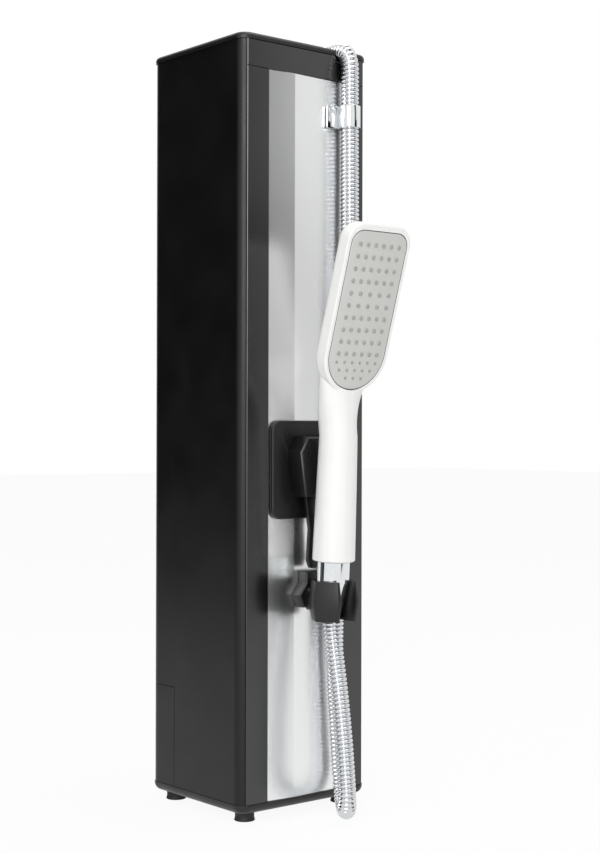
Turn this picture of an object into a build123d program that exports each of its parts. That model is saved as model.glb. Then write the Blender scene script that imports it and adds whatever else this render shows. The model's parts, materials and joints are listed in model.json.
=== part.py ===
"""Solar outdoor shower: a black column with a polished front, a mixer, and a hand shower on a metal hose.

Millimetres. +Z is up, the front faces -Y, and the origin is on the floor under the column's centre.
"""

from build123d import *
from math import cos, radians, sin, tan
import os

os.makedirs("parts", exist_ok=True)

# Column
column_width = 125.0
column_depth = 119.0
column_corner = 9.0
shell_height = 574.7
shell_wall = 1.8
fascia_margin = 4.5
fascia_thickness = 2.2
fascia_gap = 0.2
header_height = 20.0
panel_width = 73.6
slide_clearance = 0.3
edge_break = 0.4

# Feet and base tray
foot_height = 7.2
foot_radius = 8.0
foot_waist_radius = 7.3
foot_inset = 14.5
foot_head_recess = 4.4
base_height = 7.1
base_overhang = 0.5
base_edge = 6.0
base_floor = 3.0
base_rim_height = 10.0
base_rim_wall = 2.5
boss_radius = 5.0
screw_radius = 2.0
screw_clearance = 0.05
screw_head_radius = 3.9
screw_head_height = 2.6
foot_screw_length = 15.0

# Service cover over the water connections
cover_height = 78.0
cover_wrap = 32.0
cover_seam = 0.4
cover_screw_inset = 17.5
cover_screw_rise = 5.0
cover_screw_length = 9.0
cover_block = 10.0

# Top cap
cap_height = 5.0
cap_overhang = 1.0
cap_edge = 3.2
plug_height = 10.0
plug_wall = 3.0
cap_screw_x = 25.0
cap_screw_drop = 5.0
cap_screw_length = 6.0

# Hose, and the saddle where it goes over the top
hose_radius = 6.5
hose_clearance = 1.25
hose_inset = 26.0
hose_standoff = 8.5
hose_top_rise = 0.5
hose_drop = 36.0
hose_lead_drop = 46.0
saddle_wall = 3.5
saddle_notch_depth = 6.5

# Hose guide on the front panel
guide_plate_width = 21.0
guide_plate_height = 18.0
guide_plate_thickness = 2.0
guide_plate_corner = 1.5
guide_ring_height = 17.0
guide_ring_wall = 1.3
guide_ring_fit = 0.4
guide_drop = 29.0
guide_reach = 17.6
guide_stud_inset = 5.9
guide_nut_apothem = 3.5
guide_nut_height = 2.6

# Mixer
mixer_z = 271.0
mixer_plate_width = 71.0
mixer_plate_height = 75.0
mixer_plate_drop = 5.7
mixer_plate_thickness = 3.0
mixer_plate_corner = 8.0
mixer_plate_edge = 1.2
valve_radius = 23.0
valve_depth = 27.0
valve_collar_radius = 18.0
valve_floor = 9.0
port_radius = 8.0
port_length = 29.0
port_spacing = 24.0
port_socket = 5.0
plate_screw_radius = 1.5
plate_screw_head_radius = 3.0
plate_screw_head_height = 1.6
plate_screw_length = 11.0
plate_screw_x = 13.0
plate_screw_drop = 16.0
cartridge_radius = 15.0
cartridge_neck_radius = 11.0
cartridge_fit = 0.1
cartridge_ring_thickness = 2.6
spindle_radius = 5.0
spindle_fit = 0.06
spindle_depth = 13.5
spindle_reach = 13.0
handle_gap = 0.4
handle_depth = 14.0
handle_top_rise = 20.0
handle_top_half_width = 12.5
handle_shoulder_rise = 7.7
handle_shoulder_half_width = 20.5
handle_bottom_drop = 27.0
handle_bottom_half_width = 15.5
handle_edge = 0.9
handle_draft = 4.0
arrow_width = 1.3
arrow_depth = 0.6
grub_length = 8.0
lever_standoff = 7.5
lever_thickness = 3.4
lever_root_half_width = 9.0
lever_waist_half_width = 5.2
lever_tip_half_width = 7.0
lever_length = 81.0
lever_socket = 8.0

# Handset
handle_lean = 3.2
handset_z = 197.0
handset_standoff = 32.4
grip_bottom_radius = 16.2
grip_middle_radius = 15.4
grip_neck_radius = 14.4
grip_middle_height = 48.0
grip_neck_height = 94.0
head_lean = 17.1
head_z = 325.5
head_standoff = 50.8
spray_width = 55.0
spray_length = 120.0
spray_top_corner = 11.0
spray_margin = 3.0
spray_top_margin = 4.5
spray_plate_thickness = 2.4
spray_mat_thickness = 1.4
spray_seam = 0.2
spray_proud = 0.3
head_depth = 14.0
head_back_edge = 6.0
head_back_wall = 3.0
chamber_ledge = 4.0
grip_edge = 1.5
grip_bore_radius = 10.45
grip_bore_length = 92.0
bulkhead_thickness = 5.0
flow_tube_radius = 8.0
flow_tube_bore = 6.0
inlet_body_length = 14.0
inlet_socket_floor = 6.0
passage_radius = 5.5
passage_rise = 14.0
passage_depth = 7.5
neck_sections = (
    (318.0, 38.4, 8.0, 33.5, 27.0),
    (334.0, 43.4, 14.0, 44.0, 20.5),
)
head_front_edge = 1.0
nozzle_radius = 1.5
small_nozzle_radius = 1.1
nozzle_hole_fit = 0.15
nozzle_proud = 1.0
nozzle_pitch = 7.6
nozzle_wide_pitch = 9.3
nozzle_row_pitch = 9.1
nozzle_first_row = 27.5

# Hose unions
union_radius = 12.35
union_cylinder = 16.0
union_cone = 23.0
union_end_radius = 7.6
union_gap = 0.3
thread_radius = 10.4
thread_fit = 0.07
thread_length = 11.0
washer_thickness = 1.5
washer_radius = 9.6
flange_thickness = 1.5
tail_sleeve = 16.0
nipple_radius = 4.0
nipple_length = 8.0
hose_bore = 4.4
hose_fit = 0.15
waterway_radius = 3.0

# Handset holder
cradle_z = 167.0
cradle_standoff = 32.5
cradle_height = 30.0
cradle_middle_apothem = 17.5
cradle_end_apothem = 15.2
cradle_slot = 14.4
cradle_fit = 0.3
cradle_lug_width = 17.0
cradle_lug_height = 17.0
holder_thickness = 10.0
holder_neck_half_width = 7.6
holder_neck_height = 20.5
holder_shoulder_height = 11.5
holder_waist_half_width = 14.4
holder_waist_height = 2.7
holder_foot_half_width = 10.0
holder_foot_drop = 7.0
holder_screw_length = 11.0
holder_peg_radius = 5.0
holder_peg_length = 5.0

# Water connections at the rear
connection_z = 45.0
inlet_inset = 32.5
union_hex = 24.0
inlet_hex = 27.0
inlet_hex_length = 7.0
inlet_thread_radius = 10.48
inlet_thread_length = 12.0
tail_radius = 9.0
check_valve_radius = 11.0
check_valve_length = 24.0
manifold_size = 26.0
elbow_reach = 13.5
elbow_radius = 11.0
outlet_tail = 12.0
inlet_tail_grip = 6.0
rear_nut_height = 16.0
rear_thread_rise = 25.0
rear_nut_grip = 9.5
rosette_radius = 15.0
rosette_thickness = 2.4

# Tank and pipes
tank_side_gap = 3.7
tank_riser_gap = 13.0
tank_top_gap = 29.0
tank_wall = 3.0
tank_corner = 12.0
tank_edge = 6.0
tank_rear_gap = 2.7
tank_boss_radius = 9.0
tank_boss_height = 8.0
stand_thickness = 3.0
stand_leg = 8.0
stand_leg_inset_x = 5.0
stand_leg_inset_y = 9.5
tank_bottom = 96.0
pipe_radius = 6.0
pipe_bore = 4.5
pipe_bend = 12.0
riser_inset = 12.5
hot_pipe_rise = 20.0

# Levels and faces worked out from the sizes above
shell_bottom = foot_height + base_height
shell_top = shell_bottom + shell_height
cap_top = shell_top + cap_height
front_y = -column_depth / 2
rear_y = column_depth / 2
wall_front_y = front_y + fascia_thickness
inner_front_y = wall_front_y + shell_wall
inner_rear_y = rear_y - shell_wall
inner_width = column_width - 2 * shell_wall
inner_depth = inner_rear_y - inner_front_y
inner_centre_y = (inner_front_y + inner_rear_y) / 2
inner_corner = column_corner - shell_wall
header_bottom = shell_top - header_height
fascia_width = column_width - 2 * fascia_margin
foot_x = column_width / 2 - foot_inset
foot_y = column_depth / 2 - foot_inset
cover_screw_x = column_width / 2 - cover_screw_inset
guide_z = header_bottom - guide_drop
hose_x = column_width / 2 - hose_inset
inlet_x = inlet_inset - column_width / 2
groove_radius = hose_radius + hose_clearance
hose_y = front_y - hose_standoff
hose_top_z = cap_top + hose_top_rise
notch_z = shell_top - saddle_notch_depth
plate_screw_places = [(-plate_screw_x, mixer_z - plate_screw_drop), (plate_screw_x, mixer_z - plate_screw_drop)]
guide_stud_x = hose_x - guide_reach + guide_stud_inset
front_plane = Plane.XZ.offset(-front_y)
rear_plane = Plane.XZ.offset(-rear_y)

handset_origin = Vector(0, front_y - handset_standoff, handset_z)
handset_axis = Vector(0, -sin(radians(handle_lean)), cos(radians(handle_lean)))
handset_plane = Plane(handset_origin, x_dir=(1, 0, 0), z_dir=handset_axis)
handset_profile = Plane(handset_origin, x_dir=(1, 0, 0), z_dir=Vector(1, 0, 0).cross(handset_axis))
head_origin = Vector(0, front_y - head_standoff, head_z)
head_normal = Vector(0, -cos(radians(head_lean)), -sin(radians(head_lean)))
head_plane = Plane(head_origin, x_dir=(1, 0, 0), z_dir=head_normal)
union_end = union_gap + union_cylinder + union_cone

rear_hose_y = rear_y + elbow_reach
rear_nut_bottom = connection_z + rear_thread_rise - rear_nut_grip
rear_nut_top = rear_nut_bottom + rear_nut_height
riser_y = inner_front_y + riser_inset
tank_rear_y = inner_rear_y - tank_rear_gap
tank_width = inner_width - 2 * tank_side_gap
tank_depth = tank_rear_y - riser_y - pipe_radius - tank_riser_gap
tank_centre_y = tank_rear_y - tank_depth / 2
tank_top = shell_top - tank_top_gap
tank_height = tank_top - tank_bottom
stand_leg_x = tank_width / 2 - stand_leg_inset_x
stand_leg_y = (tank_depth / 2 - stand_leg_inset_y) / 2

# Column shell: a closed rounded tube whose front wall is set back for the fascia
with BuildPart() as column_shell:
    with BuildSketch(Plane.XY.offset(shell_bottom)):
        RectangleRounded(column_width, column_depth, column_corner)
        with Locations((0, inner_centre_y)):
            RectangleRounded(inner_width, inner_depth, inner_corner, mode=Mode.SUBTRACT)
        with Locations((0, front_y)):
            Rectangle(fascia_width, 2 * fascia_thickness, mode=Mode.SUBTRACT)
    extrude(amount=shell_height)
    with BuildSketch(Plane.XY.offset(shell_bottom)):
        with Locations((0, rear_y)):
            Rectangle(column_width + 2, 2 * (cover_wrap + cover_seam))
    extrude(amount=cover_height + cover_seam, mode=Mode.SUBTRACT)
    with BuildSketch(Plane.XZ.offset(-inner_front_y)):
        with Locations((0, mixer_z)):
            Circle(valve_collar_radius + slide_clearance)
        with Locations(plate_screw_places):
            Circle(plate_screw_radius + screw_clearance)
        with Locations((0, cradle_z)):
            Circle(screw_radius + screw_clearance)
        with Locations((guide_stud_x, guide_z)):
            Circle(screw_radius + screw_clearance)
    extrude(amount=shell_wall, mode=Mode.SUBTRACT)
    with BuildSketch(rear_plane):
        with Locations((-cap_screw_x, shell_top - cap_screw_drop), (cap_screw_x - 10, shell_top - cap_screw_drop)):
            Circle(screw_radius + screw_clearance)
    extrude(amount=shell_wall, mode=Mode.SUBTRACT)
    with BuildSketch(rear_plane):
        with Locations((hose_x, notch_z + groove_radius)):
            Circle(groove_radius)
            Rectangle(2 * groove_radius, cap_height + groove_radius, align=(Align.CENTER, Align.MIN))
    extrude(amount=column_depth, mode=Mode.SUBTRACT)
column_shell.part.label = "column_shell"
export_step(column_shell.part, "parts/column_shell.step")

# Header panel across the top of the front, notched for the hose
with BuildPart() as header_panel:
    with BuildSketch(front_plane):
        with Locations((0, header_bottom)):
            Rectangle(fascia_width - 2 * fascia_gap, header_height, align=(Align.CENTER, Align.MIN))
        with Locations((hose_x, notch_z + groove_radius)):
            Circle(groove_radius, mode=Mode.SUBTRACT)
            Rectangle(2 * groove_radius, cap_height, align=(Align.CENTER, Align.MIN), mode=Mode.SUBTRACT)
    extrude(amount=-fascia_thickness)
    chamfer(header_panel.faces().sort_by(Axis.Y)[0].edges(), edge_break)
header_panel.part.label = "header_panel"
export_step(header_panel.part, "parts/header_panel.step")

# Side strips and the polished panel between them
strip_width = (fascia_width - panel_width) / 2 - 2 * fascia_gap
fascia_height = header_bottom - shell_bottom - fascia_gap
for side, strip_name in ((-1, "front_strip_left"), (1, "front_strip_right")):
    with BuildPart() as front_strip:
        with BuildSketch(front_plane):
            with Locations((side * (panel_width / 2 + fascia_gap + strip_width / 2), shell_bottom)):
                Rectangle(strip_width, fascia_height, align=(Align.CENTER, Align.MIN))
        extrude(amount=-fascia_thickness)
        chamfer(front_strip.faces().sort_by(Axis.Y)[0].edges(), edge_break)
    front_strip.part.label = strip_name
    export_step(front_strip.part, f"parts/{strip_name}.step")

with BuildPart() as front_panel:
    with BuildSketch(front_plane):
        with Locations((0, shell_bottom)):
            Rectangle(panel_width, fascia_height, align=(Align.CENTER, Align.MIN))
        with Locations((0, mixer_z)):
            Circle(valve_collar_radius + slide_clearance, mode=Mode.SUBTRACT)
        with Locations(plate_screw_places):
            Circle(plate_screw_radius + screw_clearance, mode=Mode.SUBTRACT)
        with Locations((0, cradle_z)):
            Circle(screw_radius + screw_clearance, mode=Mode.SUBTRACT)
        with Locations((guide_stud_x, guide_z)):
            Circle(screw_radius + screw_clearance, mode=Mode.SUBTRACT)
    extrude(amount=-fascia_thickness)
front_panel.part.label = "front_panel"
export_step(front_panel.part, "parts/front_panel.step")

# Service cover: the lower rear of the shell as a separate wrap-around panel
with BuildPart() as service_cover:
    with BuildSketch(Plane.XY.offset(shell_bottom)):
        RectangleRounded(column_width, column_depth, column_corner)
        with Locations((0, inner_centre_y)):
            RectangleRounded(inner_width, inner_depth, inner_corner, mode=Mode.SUBTRACT)
        with Locations((0, rear_y - cover_wrap)):
            Rectangle(column_width + 2, column_depth, align=(Align.CENTER, Align.MAX), mode=Mode.SUBTRACT)
    extrude(amount=cover_height)
    with BuildSketch(rear_plane):
        with Locations((inlet_x, connection_z), (hose_x, connection_z)):
            Circle(tail_radius + slide_clearance)
        with Locations(
            (-cover_screw_x, shell_bottom + cover_screw_rise), (cover_screw_x, shell_bottom + cover_screw_rise)
        ):
            Circle(screw_radius + screw_clearance)
    extrude(amount=shell_wall, mode=Mode.SUBTRACT)
service_cover.part.label = "service_cover"
export_step(service_cover.part, "parts/service_cover.step")

# Base tray: rounded lower edge, an upstand inside the shell, and bosses for the foot screws
foot_places = [(x, y) for x in (-foot_x, foot_x) for y in (-foot_y, foot_y)]
base_width = column_width + 2 * base_overhang
base_depth = column_depth + 2 * base_overhang
rim_width = inner_width - 2 * slide_clearance
rim_depth = inner_depth - 2 * slide_clearance
with BuildPart() as base_tray:
    with BuildSketch(Plane.XY.offset(foot_height)):
        RectangleRounded(base_width, base_depth, column_corner + base_overhang)
    extrude(amount=base_height)
    fillet(base_tray.edges().group_by(Axis.Z)[0], base_edge)
    with BuildSketch(Plane.XY.offset(shell_bottom)):
        with Locations((0, inner_centre_y)):
            RectangleRounded(rim_width, rim_depth, inner_corner)
    extrude(amount=base_rim_height)
    with BuildSketch(Plane.XY.offset(foot_height + base_floor)):
        with Locations((0, inner_centre_y)):
            RectangleRounded(rim_width - 2 * base_rim_wall, rim_depth - 2 * base_rim_wall, inner_corner - base_rim_wall)
    extrude(amount=base_height - base_floor + base_rim_height, mode=Mode.SUBTRACT)
    with BuildSketch(Plane.XY.offset(foot_height + base_floor)):
        with Locations(foot_places):
            Circle(boss_radius)
        with Locations(
            (-cover_screw_x, inner_rear_y - slide_clearance), (cover_screw_x, inner_rear_y - slide_clearance)
        ):
            Rectangle(cover_block, cover_block, align=(Align.CENTER, Align.MAX))
    extrude(amount=base_height - base_floor + base_rim_height)
    with BuildSketch(Plane.XY.offset(foot_height)):
        with Locations(foot_places):
            Circle(screw_radius + screw_clearance)
    extrude(amount=base_height + base_rim_height, mode=Mode.SUBTRACT)
    with BuildSketch(Plane.XZ.offset(-inner_rear_y)):
        with Locations(
            (-cover_screw_x, shell_bottom + cover_screw_rise), (cover_screw_x, shell_bottom + cover_screw_rise)
        ):
            Circle(screw_radius + screw_clearance)
    extrude(amount=cover_block, mode=Mode.SUBTRACT)
base_tray.part.label = "base_tray"
export_step(base_tray.part, "parts/base_tray.step")

# Four rubber feet with a slight waist, each recessed for its screw
foot_names = ("foot_rear_left", "foot_front_left", "foot_rear_right", "foot_front_right")
foot_corners = ((-foot_x, foot_y), (-foot_x, -foot_y), (foot_x, foot_y), (foot_x, -foot_y))
for foot_name, (x, y) in zip(foot_names, foot_corners):
    with BuildPart() as foot:
        with BuildSketch(Plane.XZ.offset(-y)):
            with BuildLine():
                Polyline((x, 0), (x + foot_radius - edge_break, 0), (x + foot_radius, edge_break))
                ThreePointArc(
                    (x + foot_radius, edge_break),
                    (x + foot_waist_radius, foot_height / 2),
                    (x + foot_radius, foot_height - edge_break),
                )
                Polyline((x + foot_radius, foot_height - edge_break), (x + foot_radius, foot_height), (x, foot_height), (x, 0))
            make_face()
        revolve(axis=Axis((x, y, 0), (0, 0, 1)))
        with BuildSketch(Plane.XY):
            with Locations((x, y)):
                Circle(screw_head_radius + slide_clearance)
        extrude(amount=foot_head_recess, mode=Mode.SUBTRACT)
        with BuildSketch(Plane.XY):
            with Locations((x, y)):
                Circle(screw_radius + screw_clearance)
        extrude(amount=foot_height, mode=Mode.SUBTRACT)
    foot.part.label = foot_name
    export_step(foot.part, f"parts/{foot_name}.step")

with BuildPart() as foot_screws:
    with BuildSketch(Plane.XY.offset(foot_head_recess - screw_head_height)):
        with Locations(foot_places):
            Circle(screw_head_radius)
    extrude(amount=screw_head_height)
    with BuildSketch(Plane.XY.offset(foot_head_recess)):
        with Locations(foot_places):
            Circle(screw_radius)
    extrude(amount=foot_screw_length)
foot_screws.part.label = "foot_screws"
export_step(foot_screws.part, "parts/foot_screws.step")

with BuildPart() as cover_screws:
    with BuildSketch(rear_plane):
        with Locations(
            (-cover_screw_x, shell_bottom + cover_screw_rise), (cover_screw_x, shell_bottom + cover_screw_rise)
        ):
            Circle(screw_head_radius)
    extrude(amount=-screw_head_height)
    fillet(cover_screws.edges().group_by(Axis.Y)[-1], 1.2)
    with BuildSketch(rear_plane):
        with Locations(
            (-cover_screw_x, shell_bottom + cover_screw_rise), (cover_screw_x, shell_bottom + cover_screw_rise)
        ):
            Circle(screw_radius)
    extrude(amount=cover_screw_length)
cover_screws.part.label = "cover_screws"
export_step(cover_screws.part, "parts/cover_screws.step")

# Top cap: rounded lid with a plug inside the shell and a saddle channel for the hose
with BuildPart() as top_cap:
    with BuildSketch(Plane.XY.offset(shell_top)):
        RectangleRounded(column_width + 2 * cap_overhang, column_depth + 2 * cap_overhang, column_corner + cap_overhang)
    extrude(amount=cap_height)
    fillet(top_cap.edges().group_by(Axis.Z)[-1], cap_edge)
    with BuildSketch(Plane.XY.offset(shell_top - plug_height)):
        with Locations((0, inner_centre_y)):
            RectangleRounded(rim_width, rim_depth, inner_corner)
            RectangleRounded(rim_width - 2 * plug_wall, rim_depth - 2 * plug_wall, inner_corner - plug_wall, mode=Mode.SUBTRACT)
        with Locations((hose_x, inner_centre_y)):
            Rectangle(2 * (groove_radius + saddle_wall), rim_depth)
    extrude(amount=plug_height)
    with BuildSketch(rear_plane.offset(-cap_overhang)):
        with Locations((hose_x, hose_top_z)):
            Circle(groove_radius)
            Rectangle(2 * groove_radius, cap_height, align=(Align.CENTER, Align.MIN))
    extrude(amount=column_depth + 2 * cap_overhang, mode=Mode.SUBTRACT)
    with BuildSketch(Plane.XY.offset(shell_top)):
        with Locations((hose_x, inner_front_y + slide_clearance)):
            Rectangle(2 * groove_radius, column_depth, align=(Align.CENTER, Align.MAX))
        with Locations((hose_x, inner_rear_y - slide_clearance)):
            Rectangle(2 * groove_radius, column_depth, align=(Align.CENTER, Align.MIN))
    extrude(amount=cap_height, mode=Mode.SUBTRACT)
    with BuildSketch(Plane.XZ.offset(-inner_rear_y + slide_clearance)):
        with Locations((-cap_screw_x, shell_top - cap_screw_drop), (cap_screw_x - 10, shell_top - cap_screw_drop)):
            Circle(screw_radius + screw_clearance)
    extrude(amount=plug_wall, mode=Mode.SUBTRACT)
top_cap.part.label = "top_cap"
export_step(top_cap.part, "parts/top_cap.step")

with BuildPart() as cap_screws:
    with BuildSketch(rear_plane):
        with Locations((-cap_screw_x, shell_top - cap_screw_drop), (cap_screw_x - 10, shell_top - cap_screw_drop)):
            Circle(screw_head_radius)
    extrude(amount=-screw_head_height)
    fillet(cap_screws.edges().group_by(Axis.Y)[-1], 1.2)
    with BuildSketch(rear_plane):
        with Locations((-cap_screw_x, shell_top - cap_screw_drop), (cap_screw_x - 10, shell_top - cap_screw_drop)):
            Circle(screw_radius)
    extrude(amount=cap_screw_length)
cap_screws.part.label = "cap_screws"
export_step(cap_screws.part, "parts/cap_screws.step")

# Hose guide: a bare plate with a sleeve for the hose, a stud through the front and a nut inside
with BuildPart() as hose_guide:
    with BuildSketch(front_plane):
        with Locations((hose_x - guide_reach + guide_plate_width / 2, guide_z)):
            RectangleRounded(guide_plate_width, guide_plate_height, guide_plate_corner)
    extrude(amount=guide_plate_thickness)
    with BuildSketch(Plane.XY.offset(guide_z - guide_ring_height / 2)):
        with Locations((hose_x, hose_y)):
            Circle(hose_radius + guide_ring_fit + guide_ring_wall)
    extrude(amount=guide_ring_height)
    with BuildSketch(Plane.XY.offset(guide_z - guide_plate_height / 2)):
        with Locations((hose_x, hose_y)):
            Circle(hose_radius + guide_ring_fit)
    extrude(amount=guide_plate_height, mode=Mode.SUBTRACT)
    with BuildSketch(front_plane):
        with Locations((guide_stud_x, guide_z)):
            Circle(screw_radius)
    extrude(amount=-(fascia_thickness + shell_wall + guide_nut_height + 1))
hose_guide.part.label = "hose_guide"
export_step(hose_guide.part, "parts/hose_guide.step")

with BuildPart() as guide_nut:
    with BuildSketch(Plane.XZ.offset(-inner_front_y)):
        with Locations((guide_stud_x, guide_z)):
            RegularPolygon(guide_nut_apothem, 6, major_radius=False)
            Circle(screw_radius + screw_clearance, mode=Mode.SUBTRACT)
    extrude(amount=-guide_nut_height)
guide_nut.part.label = "guide_nut"
export_step(guide_nut.part, "parts/guide_nut.step")

# Mixer: plate on the front, valve body behind it, cartridge, spindle, handle and lever
mixer_plate_y = front_y - mixer_plate_thickness
valve_rear_y = inner_front_y + valve_depth
cavity_rear_y = valve_rear_y - valve_floor
handle_rear_y = mixer_plate_y - handle_gap
handle_front_y = handle_rear_y - handle_depth
lever_rear_y = front_y - lever_standoff
cavity_radius = cartridge_radius + cartridge_fit
neck_hole_radius = cartridge_neck_radius + cartridge_fit
spindle_end_y = mixer_plate_y - spindle_reach

with BuildPart() as mixer_plate:
    with BuildSketch(front_plane):
        with Locations((0, mixer_z - mixer_plate_drop)):
            RectangleRounded(mixer_plate_width, mixer_plate_height, mixer_plate_corner)
        with Locations((0, mixer_z)):
            Circle(neck_hole_radius, mode=Mode.SUBTRACT)
        with Locations(plate_screw_places):
            Circle(plate_screw_radius + screw_clearance, mode=Mode.SUBTRACT)
    extrude(amount=mixer_plate_thickness)
    fillet(mixer_plate.faces().sort_by(Axis.Y)[0].outer_wire().edges(), mixer_plate_edge)
    with BuildSketch(Plane.XZ.offset(-mixer_plate_y)):
        with Locations(plate_screw_places):
            Circle(plate_screw_head_radius + screw_clearance)
    extrude(amount=-plate_screw_head_height, mode=Mode.SUBTRACT)
mixer_plate.part.label = "mixer_plate"
export_step(mixer_plate.part, "parts/mixer_plate.step")

with BuildPart() as plate_screws:
    with BuildSketch(Plane.XZ.offset(-mixer_plate_y)):
        with Locations(plate_screw_places):
            Circle(plate_screw_head_radius)
    extrude(amount=-plate_screw_head_height)
    with BuildSketch(Plane.XZ.offset(-mixer_plate_y)):
        with Locations(plate_screw_places):
            Circle(plate_screw_radius)
    extrude(amount=-plate_screw_length)
plate_screws.part.label = "mixer_plate_screws"
export_step(plate_screws.part, "parts/mixer_plate_screws.step")

with BuildPart() as valve_body:
    with BuildSketch(Plane.XZ.offset(-inner_front_y)):
        with Locations((0, mixer_z)):
            Circle(valve_radius)
    extrude(amount=-valve_depth)
    with BuildSketch(Plane.XZ.offset(-inner_front_y)):
        with Locations((0, mixer_z)):
            Circle(valve_collar_radius)
    extrude(amount=inner_front_y - front_y)
    with BuildSketch(Plane.XY.offset(mixer_z)):
        with Locations((0, riser_y)):
            Circle(port_radius)
    extrude(amount=port_length)
    with BuildSketch(Plane.XY.offset(mixer_z)):
        with Locations((-port_spacing / 2, riser_y), (port_spacing / 2, riser_y)):
            Circle(port_radius)
    extrude(amount=-port_length)
    with BuildSketch(front_plane):
        with Locations((0, mixer_z)):
            Circle(cavity_radius)
    extrude(amount=front_y - cavity_rear_y, mode=Mode.SUBTRACT)
    with BuildSketch(Plane.XY.offset(mixer_z)):
        with Locations((0, riser_y)):
            Circle(pipe_bore)
    extrude(amount=port_length, mode=Mode.SUBTRACT)
    with BuildSketch(Plane.XY.offset(mixer_z)):
        with Locations((-port_spacing / 2, riser_y), (port_spacing / 2, riser_y)):
            Circle(pipe_bore)
    extrude(amount=-port_length, mode=Mode.SUBTRACT)
    with BuildSketch(Plane.XY.offset(mixer_z + port_length)):
        with Locations((0, riser_y)):
            Circle(pipe_radius + screw_clearance)
    extrude(amount=-port_socket, mode=Mode.SUBTRACT)
    with BuildSketch(Plane.XY.offset(mixer_z - port_length)):
        with Locations((-port_spacing / 2, riser_y), (port_spacing / 2, riser_y)):
            Circle(pipe_radius + screw_clearance)
    extrude(amount=port_socket, mode=Mode.SUBTRACT)
    with BuildSketch(Plane.XZ.offset(-inner_front_y)):
        with Locations(plate_screw_places):
            Circle(plate_screw_radius + screw_clearance)
    extrude(amount=inner_front_y - mixer_plate_y - plate_screw_length, mode=Mode.SUBTRACT)
valve_body.part.label = "mixer_valve_body"
export_step(valve_body.part, "parts/mixer_valve_body.step")

with BuildPart() as mixer_cartridge:
    with BuildSketch(Plane.XZ.offset(-cavity_rear_y)):
        with Locations((0, mixer_z)):
            Circle(cartridge_radius)
    extrude(amount=cavity_rear_y - front_y - cartridge_ring_thickness)
    with BuildSketch(Plane.XZ.offset(-cavity_rear_y)):
        with Locations((0, mixer_z)):
            Circle(cartridge_neck_radius)
    extrude(amount=cavity_rear_y - mixer_plate_y)
    with BuildSketch(Plane.XZ.offset(-mixer_plate_y)):
        with Locations((0, mixer_z)):
            Circle(spindle_radius + spindle_fit)
    extrude(amount=-spindle_depth, mode=Mode.SUBTRACT)
mixer_cartridge.part.label = "mixer_cartridge"
export_step(mixer_cartridge.part, "parts/mixer_cartridge.step")

with BuildPart() as cartridge_nut:
    with BuildSketch(front_plane):
        with Locations((0, mixer_z)):
            Circle(cartridge_radius)
            Circle(neck_hole_radius, mode=Mode.SUBTRACT)
    extrude(amount=-cartridge_ring_thickness)
cartridge_nut.part.label = "cartridge_nut"
export_step(cartridge_nut.part, "parts/cartridge_nut.step")

with BuildPart() as mixer_spindle:
    with BuildSketch(Plane.XZ.offset(-spindle_end_y)):
        with Locations((0, mixer_z)):
            Circle(spindle_radius)
    extrude(amount=-(spindle_reach + spindle_depth - slide_clearance))
mixer_spindle.part.label = "mixer_spindle"
export_step(mixer_spindle.part, "parts/mixer_spindle.step")

handle_outline = (
    (handle_top_half_width, mixer_z + handle_top_rise),
    (-handle_top_half_width, mixer_z + handle_top_rise),
    (-handle_shoulder_half_width, mixer_z + handle_shoulder_rise),
    (-handle_bottom_half_width, mixer_z - handle_bottom_drop),
    (handle_bottom_half_width, mixer_z - handle_bottom_drop),
    (handle_shoulder_half_width, mixer_z + handle_shoulder_rise),
)
grub_y = (handle_rear_y + handle_front_y) / 2
with BuildPart() as mixer_handle:
    with BuildSketch(Plane.XZ.offset(-handle_rear_y)):
        with BuildLine():
            Polyline(*handle_outline, close=True)
        make_face()
    extrude(amount=handle_depth, taper=handle_draft)
    chamfer(mixer_handle.faces().sort_by(Axis.Y)[0].edges(), handle_edge)
    with BuildSketch(Plane.XZ.offset(-handle_front_y)):
        for side in (-1, 1):
            with BuildLine():
                Polyline(
                    (side * 8.8, mixer_z + 16.0),
                    (side * 13.7, mixer_z + 8.0),
                    (side * 8.7, mixer_z - 0.5),
                    (side * (8.7 - arrow_width), mixer_z - 0.5),
                    (side * (13.7 - arrow_width), mixer_z + 8.0),
                    (side * (8.8 - arrow_width), mixer_z + 16.0),
                    close=True,
                )
            make_face()
    extrude(amount=-arrow_depth, mode=Mode.SUBTRACT)
    with BuildSketch(Plane.XZ.offset(-handle_rear_y)):
        with Locations((0, mixer_z)):
            Circle(spindle_radius)
    extrude(amount=handle_rear_y - spindle_end_y, mode=Mode.SUBTRACT)
    with BuildSketch(Plane.XY.offset(mixer_z)):
        with Locations((0, grub_y)):
            Circle(screw_radius)
    extrude(amount=handle_top_rise, mode=Mode.SUBTRACT)
    with BuildSketch(Plane.XZ.offset(-lever_rear_y)):
        with Locations((0, mixer_z - handle_bottom_drop)):
            Rectangle(2 * lever_root_half_width, lever_socket, align=(Align.CENTER, Align.MIN))
    extrude(amount=lever_thickness, mode=Mode.SUBTRACT)
mixer_handle.part.label = "mixer_handle"
export_step(mixer_handle.part, "parts/mixer_handle.step")

with BuildPart() as handle_grub_screw:
    with BuildSketch(Plane.XY.offset(mixer_z + spindle_radius)):
        with Locations((0, grub_y)):
            Circle(screw_radius)
    extrude(amount=grub_length)
handle_grub_screw.part.label = "handle_grub_screw"
export_step(handle_grub_screw.part, "parts/handle_grub_screw.step")

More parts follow.
